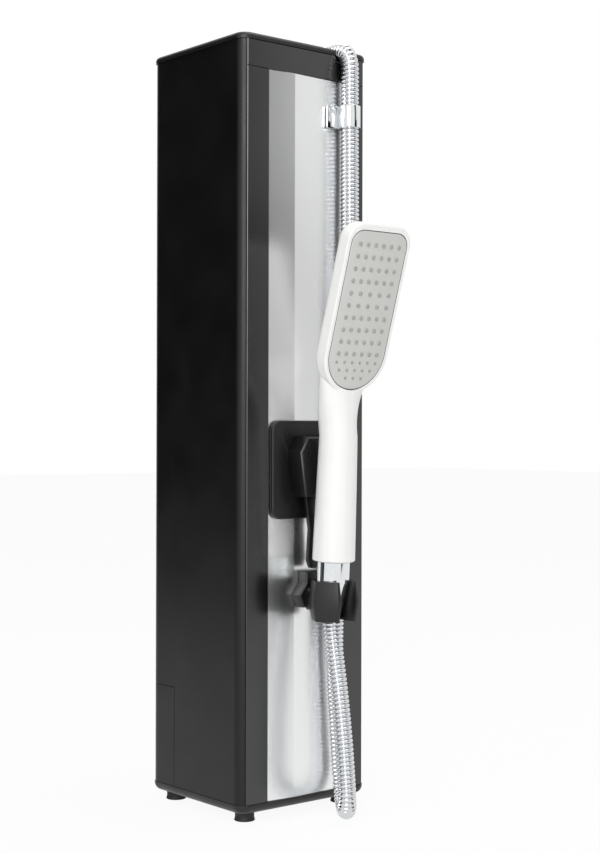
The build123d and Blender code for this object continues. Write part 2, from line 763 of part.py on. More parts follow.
lever_top = handle_bottom_drop - lever_socket
with BuildPart() as mixer_lever:
    with BuildSketch(Plane.XZ.offset(-lever_rear_y)) as lever_outline:
        with BuildLine():
            Polyline(
                (lever_root_half_width, mixer_z - lever_top),
                (-lever_root_half_width, mixer_z - lever_top),
                (-lever_root_half_width, mixer_z - handle_bottom_drop - 2.0),
                (-lever_waist_half_width, mixer_z - handle_bottom_drop - 24.0),
                (-lever_tip_half_width, mixer_z - lever_length + 6.0),
                (-lever_tip_half_width + 2.5, mixer_z - lever_length),
                (lever_tip_half_width - 2.5, mixer_z - lever_length),
                (lever_tip_half_width, mixer_z - lever_length + 6.0),
                (lever_waist_half_width, mixer_z - handle_bottom_drop - 24.0),
                (lever_root_half_width, mixer_z - handle_bottom_drop - 2.0),
                close=True,
            )
        make_face()
        fillet(lever_outline.vertices().group_by(Axis.Y)[0], 2.0)
    extrude(amount=lever_thickness)
mixer_lever.part.label = "mixer_lever"
export_step(mixer_lever.part, "parts/mixer_lever.step")

# Handset holder: a shaped base on the front and a six-sided cradle with a slot for the hose
holder_face_y = front_y - holder_thickness
with BuildPart() as holder_base:
    with BuildSketch(front_plane):
        with BuildLine():
            Polyline(
                (holder_neck_half_width, cradle_z + holder_neck_height),
                (-holder_neck_half_width, cradle_z + holder_neck_height),
                (-holder_neck_half_width, cradle_z + holder_shoulder_height),
                (-holder_waist_half_width, cradle_z + holder_waist_height),
                (-holder_foot_half_width, cradle_z - holder_foot_drop),
                (holder_foot_half_width, cradle_z - holder_foot_drop),
                (holder_waist_half_width, cradle_z + holder_waist_height),
                (holder_neck_half_width, cradle_z + holder_shoulder_height),
                close=True,
            )
        make_face()
    extrude(amount=holder_thickness)
    chamfer(holder_base.faces().sort_by(Axis.Y)[0].edges(), handle_edge)
    with BuildSketch(front_plane):
        with Locations((0, cradle_z)):
            Circle(screw_radius + screw_clearance)
    extrude(amount=holder_thickness, mode=Mode.SUBTRACT)
    with BuildSketch(Plane.XZ.offset(-holder_face_y)):
        with Locations((0, cradle_z)):
            Circle(holder_peg_radius + screw_clearance)
    extrude(amount=-(holder_peg_length + screw_head_height + slide_clearance), mode=Mode.SUBTRACT)
holder_base.part.label = "holder_base"
export_step(holder_base.part, "parts/holder_base.step")

screw_seat_y = holder_face_y + holder_peg_length + screw_head_height + slide_clearance
with BuildPart() as holder_screw:
    with BuildSketch(Plane.XZ.offset(-screw_seat_y)):
        with Locations((0, cradle_z)):
            Circle(screw_head_radius)
    extrude(amount=screw_head_height)
    with BuildSketch(Plane.XZ.offset(-screw_seat_y)):
        with Locations((0, cradle_z)):
            Circle(screw_radius)
    extrude(amount=-holder_screw_length)
holder_screw.part.label = "holder_screw"
export_step(holder_screw.part, "parts/holder_screw.step")

cradle_y = front_y - cradle_standoff
cone_slope = (union_radius - union_end_radius) / union_cone
cone_start = union_gap + union_cylinder
with BuildPart() as holder_cradle:
    for end in (-1, 1):
        with BuildSketch(Plane.XY.offset(cradle_z)):
            with Locations((0, cradle_y)):
                RegularPolygon(cradle_middle_apothem, 6, major_radius=False)
        with BuildSketch(Plane.XY.offset(cradle_z + end * cradle_height / 2)):
            with Locations((0, cradle_y)):
                RegularPolygon(cradle_end_apothem, 6, major_radius=False)
        loft(ruled=True)
    with BuildSketch(Plane.XZ.offset(-holder_face_y)):
        with Locations((0, cradle_z)):
            RectangleRounded(cradle_lug_width, cradle_lug_height, 2)
    extrude(amount=cradle_standoff - holder_thickness - cradle_end_apothem + 2)
    with BuildSketch(Plane.XZ.offset(-holder_face_y)):
        with Locations((0, cradle_z)):
            Circle(holder_peg_radius)
    extrude(amount=-holder_peg_length)
    with BuildSketch(handset_profile):
        with BuildLine():
            Polyline(
                (0, 10),
                (union_radius + cradle_fit, 10),
                (union_radius + cradle_fit, -cone_start),
                (union_end_radius + cradle_fit, -union_end),
                (union_end_radius + cradle_fit, -union_end - cradle_height),
                (0, -union_end - cradle_height),
                close=True,
            )
        make_face()
    revolve(axis=Axis(handset_origin, handset_axis), mode=Mode.SUBTRACT)
    with BuildSketch(Plane.XY.offset(cradle_z - cradle_height / 2)):
        with Locations((0, cradle_y)):
            Rectangle(cradle_slot, 2 * cradle_middle_apothem, align=(Align.CENTER, Align.MAX))
    extrude(amount=cradle_height, mode=Mode.SUBTRACT)
holder_cradle.part.label = "holder_cradle"
export_step(holder_cradle.part, "parts/holder_cradle.step")

# Handset: a leaning grip, a neck and a flat head with a pocket for the spray plate
head_half_width = spray_width / 2 + spray_margin
head_top = spray_length + spray_top_margin
head_axis = Axis(head_origin, head_normal)
pocket_depth = spray_plate_thickness - spray_proud + spray_mat_thickness
head_up = Vector(0, -sin(radians(head_lean)), cos(radians(head_lean)))
neck_start = handset_origin + handset_axis * grip_neck_height
head_start = head_origin + head_up * (spray_width / 2) - head_normal * (head_depth / 2)
passage_end = head_origin + head_up * passage_rise - head_normal * passage_depth
passage_start = handset_origin + handset_axis * (grip_bore_length + bulkhead_thickness - 2)
passage_run = passage_end - passage_start
with BuildPart() as handset_shell:
    with BuildSketch(head_plane) as head_outline:
        with Locations((0, spray_width / 2)):
            Circle(head_half_width)
            Rectangle(2 * head_half_width, head_top - spray_width / 2, align=(Align.CENTER, Align.MIN))
        fillet(head_outline.vertices().group_by(Axis.Y)[-1], spray_top_corner + spray_margin)
    extrude(amount=-head_depth)
    fillet(handset_shell.faces().sort_by(head_axis)[0].edges(), head_back_edge)
    fillet(handset_shell.faces().sort_by(head_axis)[-1].edges(), head_front_edge)
    with BuildSketch(Plane(neck_start, x_dir=(1, 0, 0), z_dir=handset_axis)):
        Circle(grip_neck_radius)
    for section_z, section_off, section_lean, section_width, section_depth in neck_sections:
        section_tilt = radians(section_lean)
        section_origin = (0, front_y - section_off, section_z)
        section_plane = Plane(section_origin, x_dir=(1, 0, 0), z_dir=(0, -sin(section_tilt), cos(section_tilt)))
        with BuildSketch(section_plane):
            Ellipse(section_width / 2, section_depth / 2)
    with BuildSketch(Plane(head_start, x_dir=(1, 0, 0), z_dir=head_up)):
        Ellipse(head_half_width - 0.5, head_depth / 2 - 0.5)
    loft()
    with BuildSketch(handset_profile):
        with BuildLine():
            Polyline(
                (0, grip_neck_height),
                (0, 0),
                (grip_bottom_radius - grip_edge, 0),
            )
            RadiusArc(
                (grip_bottom_radius - grip_edge, 0),
                (grip_bottom_radius, grip_edge),
                -grip_edge,
            )
            Spline(
                (grip_bottom_radius, grip_edge),
                (grip_middle_radius, grip_middle_height),
                (grip_neck_radius, grip_neck_height),
            )
            Line((grip_neck_radius, grip_neck_height), (0, grip_neck_height))
        make_face()
    revolve(axis=Axis(handset_origin, handset_axis))
    with BuildSketch(head_plane.offset(head_depth)) as pocket_outline:
        with Locations((0, spray_width / 2)):
            Circle(spray_width / 2)
            Rectangle(spray_width, spray_length - spray_width / 2, align=(Align.CENTER, Align.MIN))
        fillet(pocket_outline.vertices().group_by(Axis.Y)[-1], spray_top_corner)
    extrude(amount=-head_depth - pocket_depth, mode=Mode.SUBTRACT)
    with BuildSketch(head_plane.offset(-pocket_depth)):
        with Locations((0, spray_width / 2)):
            Circle(spray_width / 2 - chamber_ledge)
            Rectangle(
                spray_width - 2 * chamber_ledge,
                spray_length - spray_width / 2 - chamber_ledge,
                align=(Align.CENTER, Align.MIN),
            )
    extrude(amount=pocket_depth - head_depth + head_back_wall, mode=Mode.SUBTRACT)
    with BuildSketch(Plane(passage_start, z_dir=passage_run)):
        Circle(passage_radius)
    extrude(amount=passage_run.length, mode=Mode.SUBTRACT)
    with BuildSketch(handset_plane):
        Circle(grip_bore_radius)
    extrude(amount=grip_bore_length, mode=Mode.SUBTRACT)
    with BuildSketch(handset_plane.offset(grip_bore_length)):
        Circle(flow_tube_radius + screw_clearance)
    extrude(amount=bulkhead_thickness, mode=Mode.SUBTRACT)
handset_shell.part.label = "handset_shell"
export_step(handset_shell.part, "parts/handset_shell.step")

# Spray plate and the soft nozzle mat behind it
wide_rows = (4, 5)
nozzle_places = []
for row in range(10):
    row_v = nozzle_first_row + row * nozzle_row_pitch
    row_pitch = nozzle_wide_pitch if row in wide_rows else nozzle_pitch
    row_count = 5 if row in wide_rows else 6
    nozzle_places += [((column - (row_count - 1) / 2) * row_pitch, row_v) for column in range(row_count)]
small_places = [((column - 2.5) * nozzle_pitch, nozzle_first_row - 6.5) for column in range(6)]
small_places += [((column - 2) * nozzle_pitch, nozzle_first_row - 12.5) for column in range(5)]
small_places += [((column - 1) * nozzle_pitch, nozzle_first_row - 18.5) for column in range(3)]
plate_half_width = spray_width / 2 - spray_seam
plate_corner = spray_top_corner - spray_seam
plate_top = spray_length - spray_seam
with BuildPart() as spray_plate:
    with BuildSketch(head_plane.offset(spray_proud)) as spray_outline:
        with Locations((0, spray_width / 2)):
            Circle(plate_half_width)
            Rectangle(2 * plate_half_width, plate_top - spray_width / 2, align=(Align.CENTER, Align.MIN))
        fillet(spray_outline.vertices().group_by(Axis.Y)[-1], plate_corner)
    extrude(amount=-spray_plate_thickness)
    chamfer(spray_plate.faces().sort_by(head_axis)[-1].edges(), edge_break)
    with BuildSketch(head_plane.offset(spray_proud)):
        with Locations(nozzle_places):
            Circle(nozzle_radius + nozzle_hole_fit)
        with Locations(small_places):
            Circle(small_nozzle_radius + nozzle_hole_fit)
    extrude(amount=-spray_plate_thickness, mode=Mode.SUBTRACT)
spray_plate.part.label = "handset_spray_plate"
export_step(spray_plate.part, "parts/handset_spray_plate.step")

with BuildPart() as nozzle_mat:
    with BuildSketch(head_plane.offset(-pocket_depth)) as mat_outline:
        with Locations((0, spray_width / 2)):
            Circle(plate_half_width)
            Rectangle(2 * plate_half_width, plate_top - spray_width / 2, align=(Align.CENTER, Align.MIN))
        fillet(mat_outline.vertices().group_by(Axis.Y)[-1], plate_corner)
    extrude(amount=spray_mat_thickness)
    with BuildSketch(head_plane.offset(-pocket_depth + spray_mat_thickness)):
        with Locations(nozzle_places):
            Circle(nozzle_radius)
        with Locations(small_places):
            Circle(small_nozzle_radius)
    extrude(amount=spray_plate_thickness + nozzle_proud)
nozzle_mat.part.label = "handset_nozzle_mat"
export_step(nozzle_mat.part, "parts/handset_nozzle_mat.step")

with BuildPart() as flow_tube:
    with BuildSketch(handset_plane.offset(inlet_socket_floor)):
        Circle(flow_tube_radius)
        Circle(flow_tube_bore, mode=Mode.SUBTRACT)
    extrude(amount=grip_bore_length + bulkhead_thickness - inlet_socket_floor - slide_clearance)
flow_tube.part.label = "handset_flow_tube"
export_step(flow_tube.part, "parts/handset_flow_tube.step")

with BuildPart() as handset_inlet:
    with BuildSketch(handset_plane.offset(-thread_length)):
        Circle(thread_radius)
        Circle(flow_tube_bore, mode=Mode.SUBTRACT)
    extrude(amount=thread_length + inlet_body_length)
    with BuildSketch(handset_plane.offset(inlet_socket_floor)):
        Circle(flow_tube_radius + screw_clearance)
    extrude(amount=inlet_body_length - inlet_socket_floor, mode=Mode.SUBTRACT)
handset_inlet.part.label = "handset_inlet"
export_step(handset_inlet.part, "parts/handset_inlet.step")

# Cone nut, washer and hose tail under the handset
tail_top = thread_length + washer_thickness
tail_seat = tail_top + flange_thickness
hose_end_drop = tail_seat + tail_sleeve
with BuildPart() as hose_cone_nut:
    with BuildSketch(handset_profile):
        with BuildLine():
            Polyline(
                (thread_radius + thread_fit, -union_gap),
                (union_radius - edge_break, -union_gap),
                (union_radius, -union_gap - edge_break),
                (union_radius, -cone_start),
                (union_end_radius, -union_end),
                (hose_radius + hose_fit, -union_end),
                (hose_radius + hose_fit, -tail_seat),
                (thread_radius + thread_fit, -tail_seat),
                close=True,
            )
        make_face()
    revolve(axis=Axis(handset_origin, handset_axis))
hose_cone_nut.part.label = "hose_cone_nut"
export_step(hose_cone_nut.part, "parts/hose_cone_nut.step")

with BuildPart() as handset_washer:
    with BuildSketch(handset_plane.offset(-tail_top)):
        Circle(washer_radius)
        Circle(flow_tube_bore, mode=Mode.SUBTRACT)
    extrude(amount=washer_thickness)
handset_washer.part.label = "handset_washer"
export_step(handset_washer.part, "parts/handset_washer.step")

with BuildPart() as handset_hose_tail:
    with BuildSketch(handset_plane.offset(-tail_top)):
        Circle(washer_radius)
    extrude(amount=-flange_thickness)
    with BuildSketch(handset_plane.offset(-tail_seat)):
        Circle(hose_radius)
    extrude(amount=-tail_sleeve)
    with BuildSketch(handset_plane.offset(-hose_end_drop)):
        Circle(nipple_radius)
    extrude(amount=-nipple_length)
    with BuildSketch(handset_plane.offset(-tail_top)):
        Circle(waterway_radius)
    extrude(amount=-(flange_thickness + tail_sleeve + nipple_length), mode=Mode.SUBTRACT)
handset_hose_tail.part.label = "handset_hose_tail"
export_step(handset_hose_tail.part, "parts/handset_hose_tail.step")

# Rear union: elbow with a threaded end, rosette, nut, washer and hose tail
with BuildPart() as outlet_elbow:
    with BuildSketch(rear_plane):
        with Locations((hose_x, connection_z)):
            Circle(tail_radius)
    extrude(amount=outlet_tail + shell_wall)
    with BuildSketch(rear_plane):
        with Locations((hose_x, connection_z)):
            Circle(elbow_radius)
    extrude(amount=-elbow_reach)
    with Locations((hose_x, rear_hose_y, connection_z)):
        Sphere(elbow_radius)
    with BuildSketch(Plane.XY.offset(connection_z)):
        with Locations((hose_x, rear_hose_y)):
            Circle(thread_radius)
    extrude(amount=rear_thread_rise)
    with BuildSketch(Plane.XZ.offset(-rear_hose_y)):
        with Locations((hose_x, connection_z)):
            Circle(pipe_bore)
    extrude(amount=elbow_reach + shell_wall + outlet_tail, mode=Mode.SUBTRACT)
    with BuildSketch(Plane.XY.offset(connection_z)):
        with Locations((hose_x, rear_hose_y)):
            Circle(pipe_bore)
    extrude(amount=rear_thread_rise, mode=Mode.SUBTRACT)
    with BuildSketch(Plane.XZ.offset(-(rear_y - shell_wall - outlet_tail))):
        with Locations((hose_x, connection_z)):
            Circle(pipe_radius + screw_clearance)
    extrude(amount=-port_socket, mode=Mode.SUBTRACT)
outlet_elbow.part.label = "outlet_elbow"
export_step(outlet_elbow.part, "parts/outlet_elbow.step")

with BuildPart() as outlet_rosette:
    with BuildSketch(rear_plane):
        with Locations((hose_x, connection_z)):
            Circle(rosette_radius)
            Circle(elbow_radius + screw_clearance, mode=Mode.SUBTRACT)
    extrude(amount=-rosette_thickness)
    chamfer(outlet_rosette.faces().sort_by(Axis.Y)[-1].outer_wire().edges(), edge_break)
outlet_rosette.part.label = "outlet_rosette"
export_step(outlet_rosette.part, "parts/outlet_rosette.step")

rear_tail_seat = connection_z + rear_thread_rise + washer_thickness + flange_thickness
with BuildPart() as hose_hex_nut:
    with BuildSketch(Plane.XY.offset(rear_nut_bottom)):
        with Locations((hose_x, rear_hose_y)):
            RegularPolygon(union_hex / 2, 6, major_radius=False)
            Circle(thread_radius + thread_fit, mode=Mode.SUBTRACT)
    extrude(amount=rear_tail_seat - rear_nut_bottom)
    with BuildSketch(Plane.XY.offset(rear_tail_seat)):
        with Locations((hose_x, rear_hose_y)):
            RegularPolygon(union_hex / 2, 6, major_radius=False)
            Circle(hose_radius + hose_fit, mode=Mode.SUBTRACT)
    extrude(amount=rear_nut_top - rear_tail_seat)
hose_hex_nut.part.label = "hose_hex_nut"
export_step(hose_hex_nut.part, "parts/hose_hex_nut.step")

with BuildPart() as outlet_washer:
    with BuildSketch(Plane.XY.offset(connection_z + rear_thread_rise)):
        with Locations((hose_x, rear_hose_y)):
            Circle(washer_radius)
            Circle(pipe_bore, mode=Mode.SUBTRACT)
    extrude(amount=washer_thickness)
outlet_washer.part.label = "outlet_washer"
export_step(outlet_washer.part, "parts/outlet_washer.step")

with BuildPart() as outlet_hose_tail:
    with BuildSketch(Plane.XY.offset(rear_tail_seat - flange_thickness)):
        with Locations((hose_x, rear_hose_y)):
            Circle(washer_radius)
    extrude(amount=flange_thickness)
    with BuildSketch(Plane.XY.offset(rear_tail_seat)):
        with Locations((hose_x, rear_hose_y)):
            Circle(hose_radius)
    extrude(amount=rear_nut_top - rear_tail_seat)
    with BuildSketch(Plane.XY.offset(rear_nut_top)):
        with Locations((hose_x, rear_hose_y)):
            Circle(nipple_radius)
    extrude(amount=nipple_length)
    with BuildSketch(Plane.XY.offset(rear_tail_seat - flange_thickness)):
        with Locations((hose_x, rear_hose_y)):
            Circle(waterway_radius)
    extrude(amount=rear_nut_top + nipple_length, mode=Mode.SUBTRACT)
outlet_hose_tail.part.label = "outlet_hose_tail"
export_step(outlet_hose_tail.part, "parts/outlet_hose_tail.step")

# Shower hose: up the rear, over the saddle, down through the guide, round on the floor and up to the cone nut
hose_end = handset_origin - handset_axis * hose_end_drop
hose_lead = handset_origin - handset_axis * hose_lead_drop
floor_z = hose_radius + slide_clearance
route_points = [
    (hose_x, rear_hose_y, rear_nut_top),
    (hose_x, rear_hose_y, 114.0),
    (hose_x + 1.4, rear_hose_y + 1.6, 185.0),
    (hose_x + 2.6, rear_hose_y + 3.0, 270.0),
    (hose_x + 2.4, rear_hose_y + 3.0, 360.0),
    (hose_x + 1.3, rear_hose_y + 2.0, 440.0),
    (hose_x + 0.3, rear_hose_y + 0.6, 505.0),
    (hose_x, rear_hose_y, hose_top_z - hose_drop),
    (hose_x, rear_hose_y, hose_top_z),
    (hose_x + 0.5, rear_hose_y - hose_drop, hose_top_z),
    (hose_x + 0.8, (rear_hose_y + hose_y) / 2, hose_top_z),
    (hose_x + 0.5, hose_y + hose_drop, hose_top_z),
    (hose_x, hose_y, hose_top_z),
    (hose_x, hose_y, hose_top_z - hose_drop),
    (hose_x + 0.3, hose_y + 0.1, 500.0),
    (hose_x + 0.2, hose_y - 0.6, 430.0),
    (hose_x - 0.8, hose_y - 1.4, 360.0),
    (hose_x - 2.6, hose_y - 1.9, 300.0),
    (hose_x - 6.3, hose_y - 1.9, 240.0),
    (hose_x - 12.5, hose_y - 1.0, 185.0),
    (hose_x - 16.0, hose_y - 0.5, 130.0),
    (hose_x - 12.0, hose_y - 1.2, 70.0),
    (hose_x - 7.5, hose_y - 1.7, floor_z),
    (3.0, front_y - 46.5, floor_z),
    (1.0, front_y - 45.0, 50.0),
    (0.4, front_y - 39.8, 93.0),
    (0.1, front_y - 33.2, 129.0),
    tuple(hose_lead),
    tuple(hose_end),
]
vectors = [Vector(*point) for point in route_points]
runs = [(b - a).length for a, b in zip(vectors, vectors[1:])]
turns = [(b - a).get_angle(c - b) for a, b, c in zip(vectors, vectors[1:], vectors[2:])]
bends = [0.45 * min(pair) / tan(radians(turn) / 2) for pair, turn in zip(zip(runs, runs[1:]), turns)]
with BuildPart() as shower_hose:
    with BuildLine() as hose_route:
        FilletPolyline(*route_points, radius=bends)
    with BuildSketch(Plane(hose_route.line @ 0, z_dir=hose_route.line % 0)):
        Circle(hose_radius)
        Circle(hose_bore, mode=Mode.SUBTRACT)
    sweep()
shower_hose.part.label = "shower_hose"
export_step(shower_hose.part, "parts/shower_hose.step")

# Water inlet at the rear: threaded connector, check valve and manifold
check_valve_front_y = rear_y - shell_wall - outlet_tail + inlet_tail_grip - check_valve_length
manifold_y = check_valve_front_y - manifold_size / 2
with BuildPart() as inlet_connector:
    with BuildSketch(rear_plane):
        with Locations((inlet_x, connection_z)):
            Circle(tail_radius)
    extrude(amount=shell_wall + outlet_tail)
    with BuildSketch(rear_plane):
        with Locations((inlet_x, connection_z)):
            RegularPolygon(inlet_hex / 2, 6, major_radius=False)
    extrude(amount=-inlet_hex_length)
    with BuildSketch(rear_plane.offset(-inlet_hex_length)):
        with Locations((inlet_x, connection_z)):
            Circle(inlet_thread_radius)
    extrude(amount=-inlet_thread_length)
    with BuildSketch(rear_plane.offset(-inlet_hex_length - inlet_thread_length)):
        with Locations((inlet_x, connection_z)):
            Circle(pipe_radius)
    extrude(amount=inlet_thread_length + inlet_hex_length + shell_wall + outlet_tail, mode=Mode.SUBTRACT)
inlet_connector.part.label = "inlet_connector"
export_step(inlet_connector.part, "parts/inlet_connector.step")

with BuildPart() as check_valve:
    with BuildSketch(Plane.XZ.offset(-check_valve_front_y)):
        with Locations((inlet_x, connection_z)):
            Circle(check_valve_radius)
            Circle(pipe_radius, mode=Mode.SUBTRACT)
    extrude(amount=-check_valve_length)
    with BuildSketch(Plane.XZ.offset(-check_valve_front_y - check_valve_length)):
        with Locations((inlet_x, connection_z)):
            Circle(tail_radius + screw_clearance)
    extrude(amount=inlet_tail_grip, mode=Mode.SUBTRACT)
check_valve.part.label = "inlet_check_valve"
export_step(check_valve.part, "parts/inlet_check_valve.step")

with BuildPart() as inlet_manifold:
    with Locations((inlet_x, manifold_y, connection_z)):
        Box(manifold_size, manifold_size, manifold_size)
    fillet(inlet_manifold.edges(), 2)
    with BuildSketch(Plane.XZ.offset(-manifold_y - manifold_size / 2)):
        with Locations((inlet_x, connection_z)):
            Circle(pipe_bore)
    extrude(amount=manifold_size, mode=Mode.SUBTRACT)
    with BuildSketch(Plane.XY.offset(connection_z)):
        with Locations((inlet_x, manifold_y)):
            Circle(pipe_bore)
    extrude(amount=manifold_size / 2, mode=Mode.SUBTRACT)
    with BuildSketch(Plane.XZ.offset(-manifold_y + manifold_size / 2)):
        with Locations((inlet_x, connection_z)):
            Circle(pipe_radius + screw_clearance)
    extrude(amount=-port_socket, mode=Mode.SUBTRACT)
    with BuildSketch(Plane.XY.offset(connection_z + manifold_size / 2)):
        with Locations((inlet_x, manifold_y)):
            Circle(pipe_radius + screw_clearance)
    extrude(amount=-port_socket, mode=Mode.SUBTRACT)
inlet_manifold.part.label = "inlet_manifold"
export_step(inlet_manifold.part, "parts/inlet_manifold.step")

# Water tank on a stand, with a filling socket below and a hot outlet above
with BuildPart() as water_tank:
    with BuildSketch(Plane.XY.offset(tank_bottom)):
        with Locations((0, tank_centre_y)):
            RectangleRounded(tank_width, tank_depth, tank_corner)
    extrude(amount=tank_height)
    fillet(water_tank.edges().group_by(Axis.Z)[0] + water_tank.edges().group_by(Axis.Z)[-1], tank_edge)
    with BuildSketch(Plane.XY.offset(tank_top - tank_wall)):
        with Locations((0, tank_centre_y)):
            Circle(tank_boss_radius)
    extrude(amount=tank_wall + tank_boss_height)
    with BuildSketch(Plane.XY.offset(tank_bottom + tank_wall)):
        with Locations((inlet_x, manifold_y)):
            Circle(tank_boss_radius)
    extrude(amount=-(tank_wall + tank_boss_height))
    with BuildSketch(Plane.XY.offset(tank_bottom + tank_wall)):
        with Locations((0, tank_centre_y)):
            RectangleRounded(tank_width - 2 * tank_wall, tank_depth - 2 * tank_wall, tank_corner - tank_wall)
    extrude(amount=tank_height - 2 * tank_wall, mode=Mode.SUBTRACT)
    with BuildSketch(Plane.XY.offset(tank_top + tank_boss_height)):
        with Locations((0, tank_centre_y)):
            Circle(pipe_radius + screw_clearance)
    extrude(amount=-(tank_boss_height + tank_wall), mode=Mode.SUBTRACT)
    with BuildSketch(Plane.XY.offset(tank_bottom - tank_boss_height)):
        with Locations((inlet_x, manifold_y)):
            Circle(pipe_radius + screw_clearance)
    extrude(amount=tank_boss_height + tank_wall, mode=Mode.SUBTRACT)
water_tank.part.label = "water_tank"
export_step(water_tank.part, "parts/water_tank.step")

stand_bottom = foot_height + base_floor
with BuildPart() as tank_stand:
    with BuildSketch(Plane.XY.offset(tank_bottom)):
        with Locations((0, tank_centre_y)):
            RectangleRounded(tank_width - 4, tank_depth - 4, tank_corner)
        with Locations((inlet_x, manifold_y)):
            Circle(tank_boss_radius + slide_clearance, mode=Mode.SUBTRACT)
    extrude(amount=-stand_thickness)
    with BuildSketch(Plane.XY.offset(stand_bottom)):
        with Locations((0, tank_centre_y - stand_leg_y)):
            with GridLocations(2 * stand_leg_x, 2 * stand_leg_y, 2, 2):
                Rectangle(stand_leg, stand_leg)
    extrude(amount=tank_bottom - stand_thickness - stand_bottom)
tank_stand.part.label = "tank_stand"
export_step(tank_stand.part, "parts/tank_stand.step")

# Pipes between the manifold, the tank, the mixer and the outlet
port_x = port_spacing / 2
cold_port_z = mixer_z - port_length + port_socket
hot_port_z = mixer_z + port_length - port_socket
pipe_routes = (
    (
        "fill_pipe",
        (
            (inlet_x, manifold_y, connection_z + manifold_size / 2 - port_socket),
            (inlet_x, manifold_y, tank_bottom - tank_boss_height + port_socket),
        ),
    ),
    (
        "cold_pipe",
        (
            (inlet_x, manifold_y - manifold_size / 2 + port_socket, connection_z),
            (inlet_x, manifold_y - manifold_size, connection_z),
            (-port_x, riser_y, connection_z),
            (-port_x, riser_y, cold_port_z),
        ),
    ),
    (
        "mixed_pipe",
        (
            (port_x, riser_y, cold_port_z),
            (port_x, riser_y, connection_z),
            (hose_x, riser_y + 2.5 * pipe_bend, connection_z),
            (hose_x, rear_y - shell_wall - outlet_tail + port_socket, connection_z),
        ),
    ),
    (
        "hot_pipe",
        (
            (0, tank_centre_y, tank_top + tank_boss_height - port_socket),
            (0, tank_centre_y, tank_top + hot_pipe_rise),
            (0, riser_y, tank_top + hot_pipe_rise),
            (0, riser_y, hot_port_z),
        ),
    ),
)
for pipe_name, pipe_points in pipe_routes:
    with BuildPart() as pipe:
        with BuildLine() as pipe_route:
            if len(pipe_points) == 2:
                Line(*pipe_points)
            else:
                FilletPolyline(*pipe_points, radius=pipe_bend)
        with BuildSketch(Plane(pipe_route.line @ 0, z_dir=pipe_route.line % 0)):
            Circle(pipe_radius)
            Circle(pipe_bore, mode=Mode.SUBTRACT)
        sweep()
    pipe.part.label = pipe_name
    export_step(pipe.part, f"parts/{pipe_name}.step")

hose_length = sum(edge.length for edge in hose_route.line.edges())
hose_section = 3.14159 * (hose_radius**2 - hose_bore**2)
print("hose length", round(hose_length, 1))
print("hose bend radii", [round(bend, 1) for bend in bends])
print("hose runs", [round(run, 1) for run in runs])
print("hose volume", round(shower_hose.part.volume), "section times length", round(hose_section * hose_length))
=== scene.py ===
"""Solar outdoor shower in a studio: black column, polished front, white hand shower, steel hose."""

import json
import math

import bpy
from mathutils import Matrix, Vector


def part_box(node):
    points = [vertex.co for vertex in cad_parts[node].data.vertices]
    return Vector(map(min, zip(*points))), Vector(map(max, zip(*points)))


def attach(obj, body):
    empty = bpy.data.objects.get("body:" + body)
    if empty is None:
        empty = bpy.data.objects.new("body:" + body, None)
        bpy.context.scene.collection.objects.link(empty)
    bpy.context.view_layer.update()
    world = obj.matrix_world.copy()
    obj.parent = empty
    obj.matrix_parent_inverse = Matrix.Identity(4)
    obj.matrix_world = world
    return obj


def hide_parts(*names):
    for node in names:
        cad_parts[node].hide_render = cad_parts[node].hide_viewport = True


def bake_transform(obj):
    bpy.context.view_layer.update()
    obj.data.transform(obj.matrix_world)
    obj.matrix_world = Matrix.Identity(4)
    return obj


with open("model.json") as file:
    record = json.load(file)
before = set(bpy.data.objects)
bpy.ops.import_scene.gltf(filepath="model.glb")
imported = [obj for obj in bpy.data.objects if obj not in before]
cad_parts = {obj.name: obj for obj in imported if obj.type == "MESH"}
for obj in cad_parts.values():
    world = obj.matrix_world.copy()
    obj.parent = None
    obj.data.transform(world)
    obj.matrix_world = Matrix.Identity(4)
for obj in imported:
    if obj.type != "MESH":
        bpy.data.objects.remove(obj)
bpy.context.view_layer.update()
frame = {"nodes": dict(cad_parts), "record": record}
nodes = frame["nodes"]
mm = 0.001

# Sizes shared with the solids, in metres
front_y = -59.5 * mm


# Camera at the picture's viewpoint
def place_camera():
    camera_data = bpy.data.cameras.new("studio camera")
    camera_data.lens = 65.49
    camera_data.sensor_width = 36
    camera = bpy.data.objects.new("studio camera", camera_data)
    camera.location = (-0.7659, -0.9787, 0.2952)
    tilt, roll, turn = 90.145, -0.135, -39.567
    camera.rotation_euler = (math.radians(tilt), math.radians(roll), math.radians(turn))
    bpy.context.scene.collection.objects.link(camera)
    bpy.context.scene.camera = camera


# Materials: the colour sockets of a Mix node, and the span that most of a noise lies in
mix_factor, mix_first, mix_second, mix_result = 0, 6, 7, 2
noise_span = {"From Min": 0.3, "From Max": 0.7}


def colour(hex_text):
    """Turns an sRGB hex value into the linear colour that the sockets take."""
    channels = [int(hex_text[i : i + 2], 16) / 255 for i in (1, 3, 5)]
    linear = [c / 12.92 if c <= 0.04045 else ((c + 0.055) / 1.055) ** 2.4 for c in channels]
    return (*linear, 1.0)


def blotches(size, stretch=(1, 1, 1)):
    """The mapping scale at which a noise has blotches about size metres across."""
    return [axis / size for axis in stretch]


def add(tree, kind, settings=None, links=None):
    """Adds a node with its settings and links; a socket goes by its name or its number."""
    node = tree.nodes.new(kind)
    for key, value in (settings or {}).items():
        if isinstance(key, str) and hasattr(node, key):
            setattr(node, key, value)
        else:
            node.inputs[key].default_value = value
    for key, socket in (links or {}).items():
        tree.links.new(socket, node.inputs[key])
    return node


def start_material(name):
    material = bpy.data.materials.new(name)
    material.use_nodes = True
    material.node_tree.nodes.clear()
    return material, material.node_tree


def close_material(tree, shader):
    add(tree, "ShaderNodeOutputMaterial", links={"Surface": shader.outputs[0]})


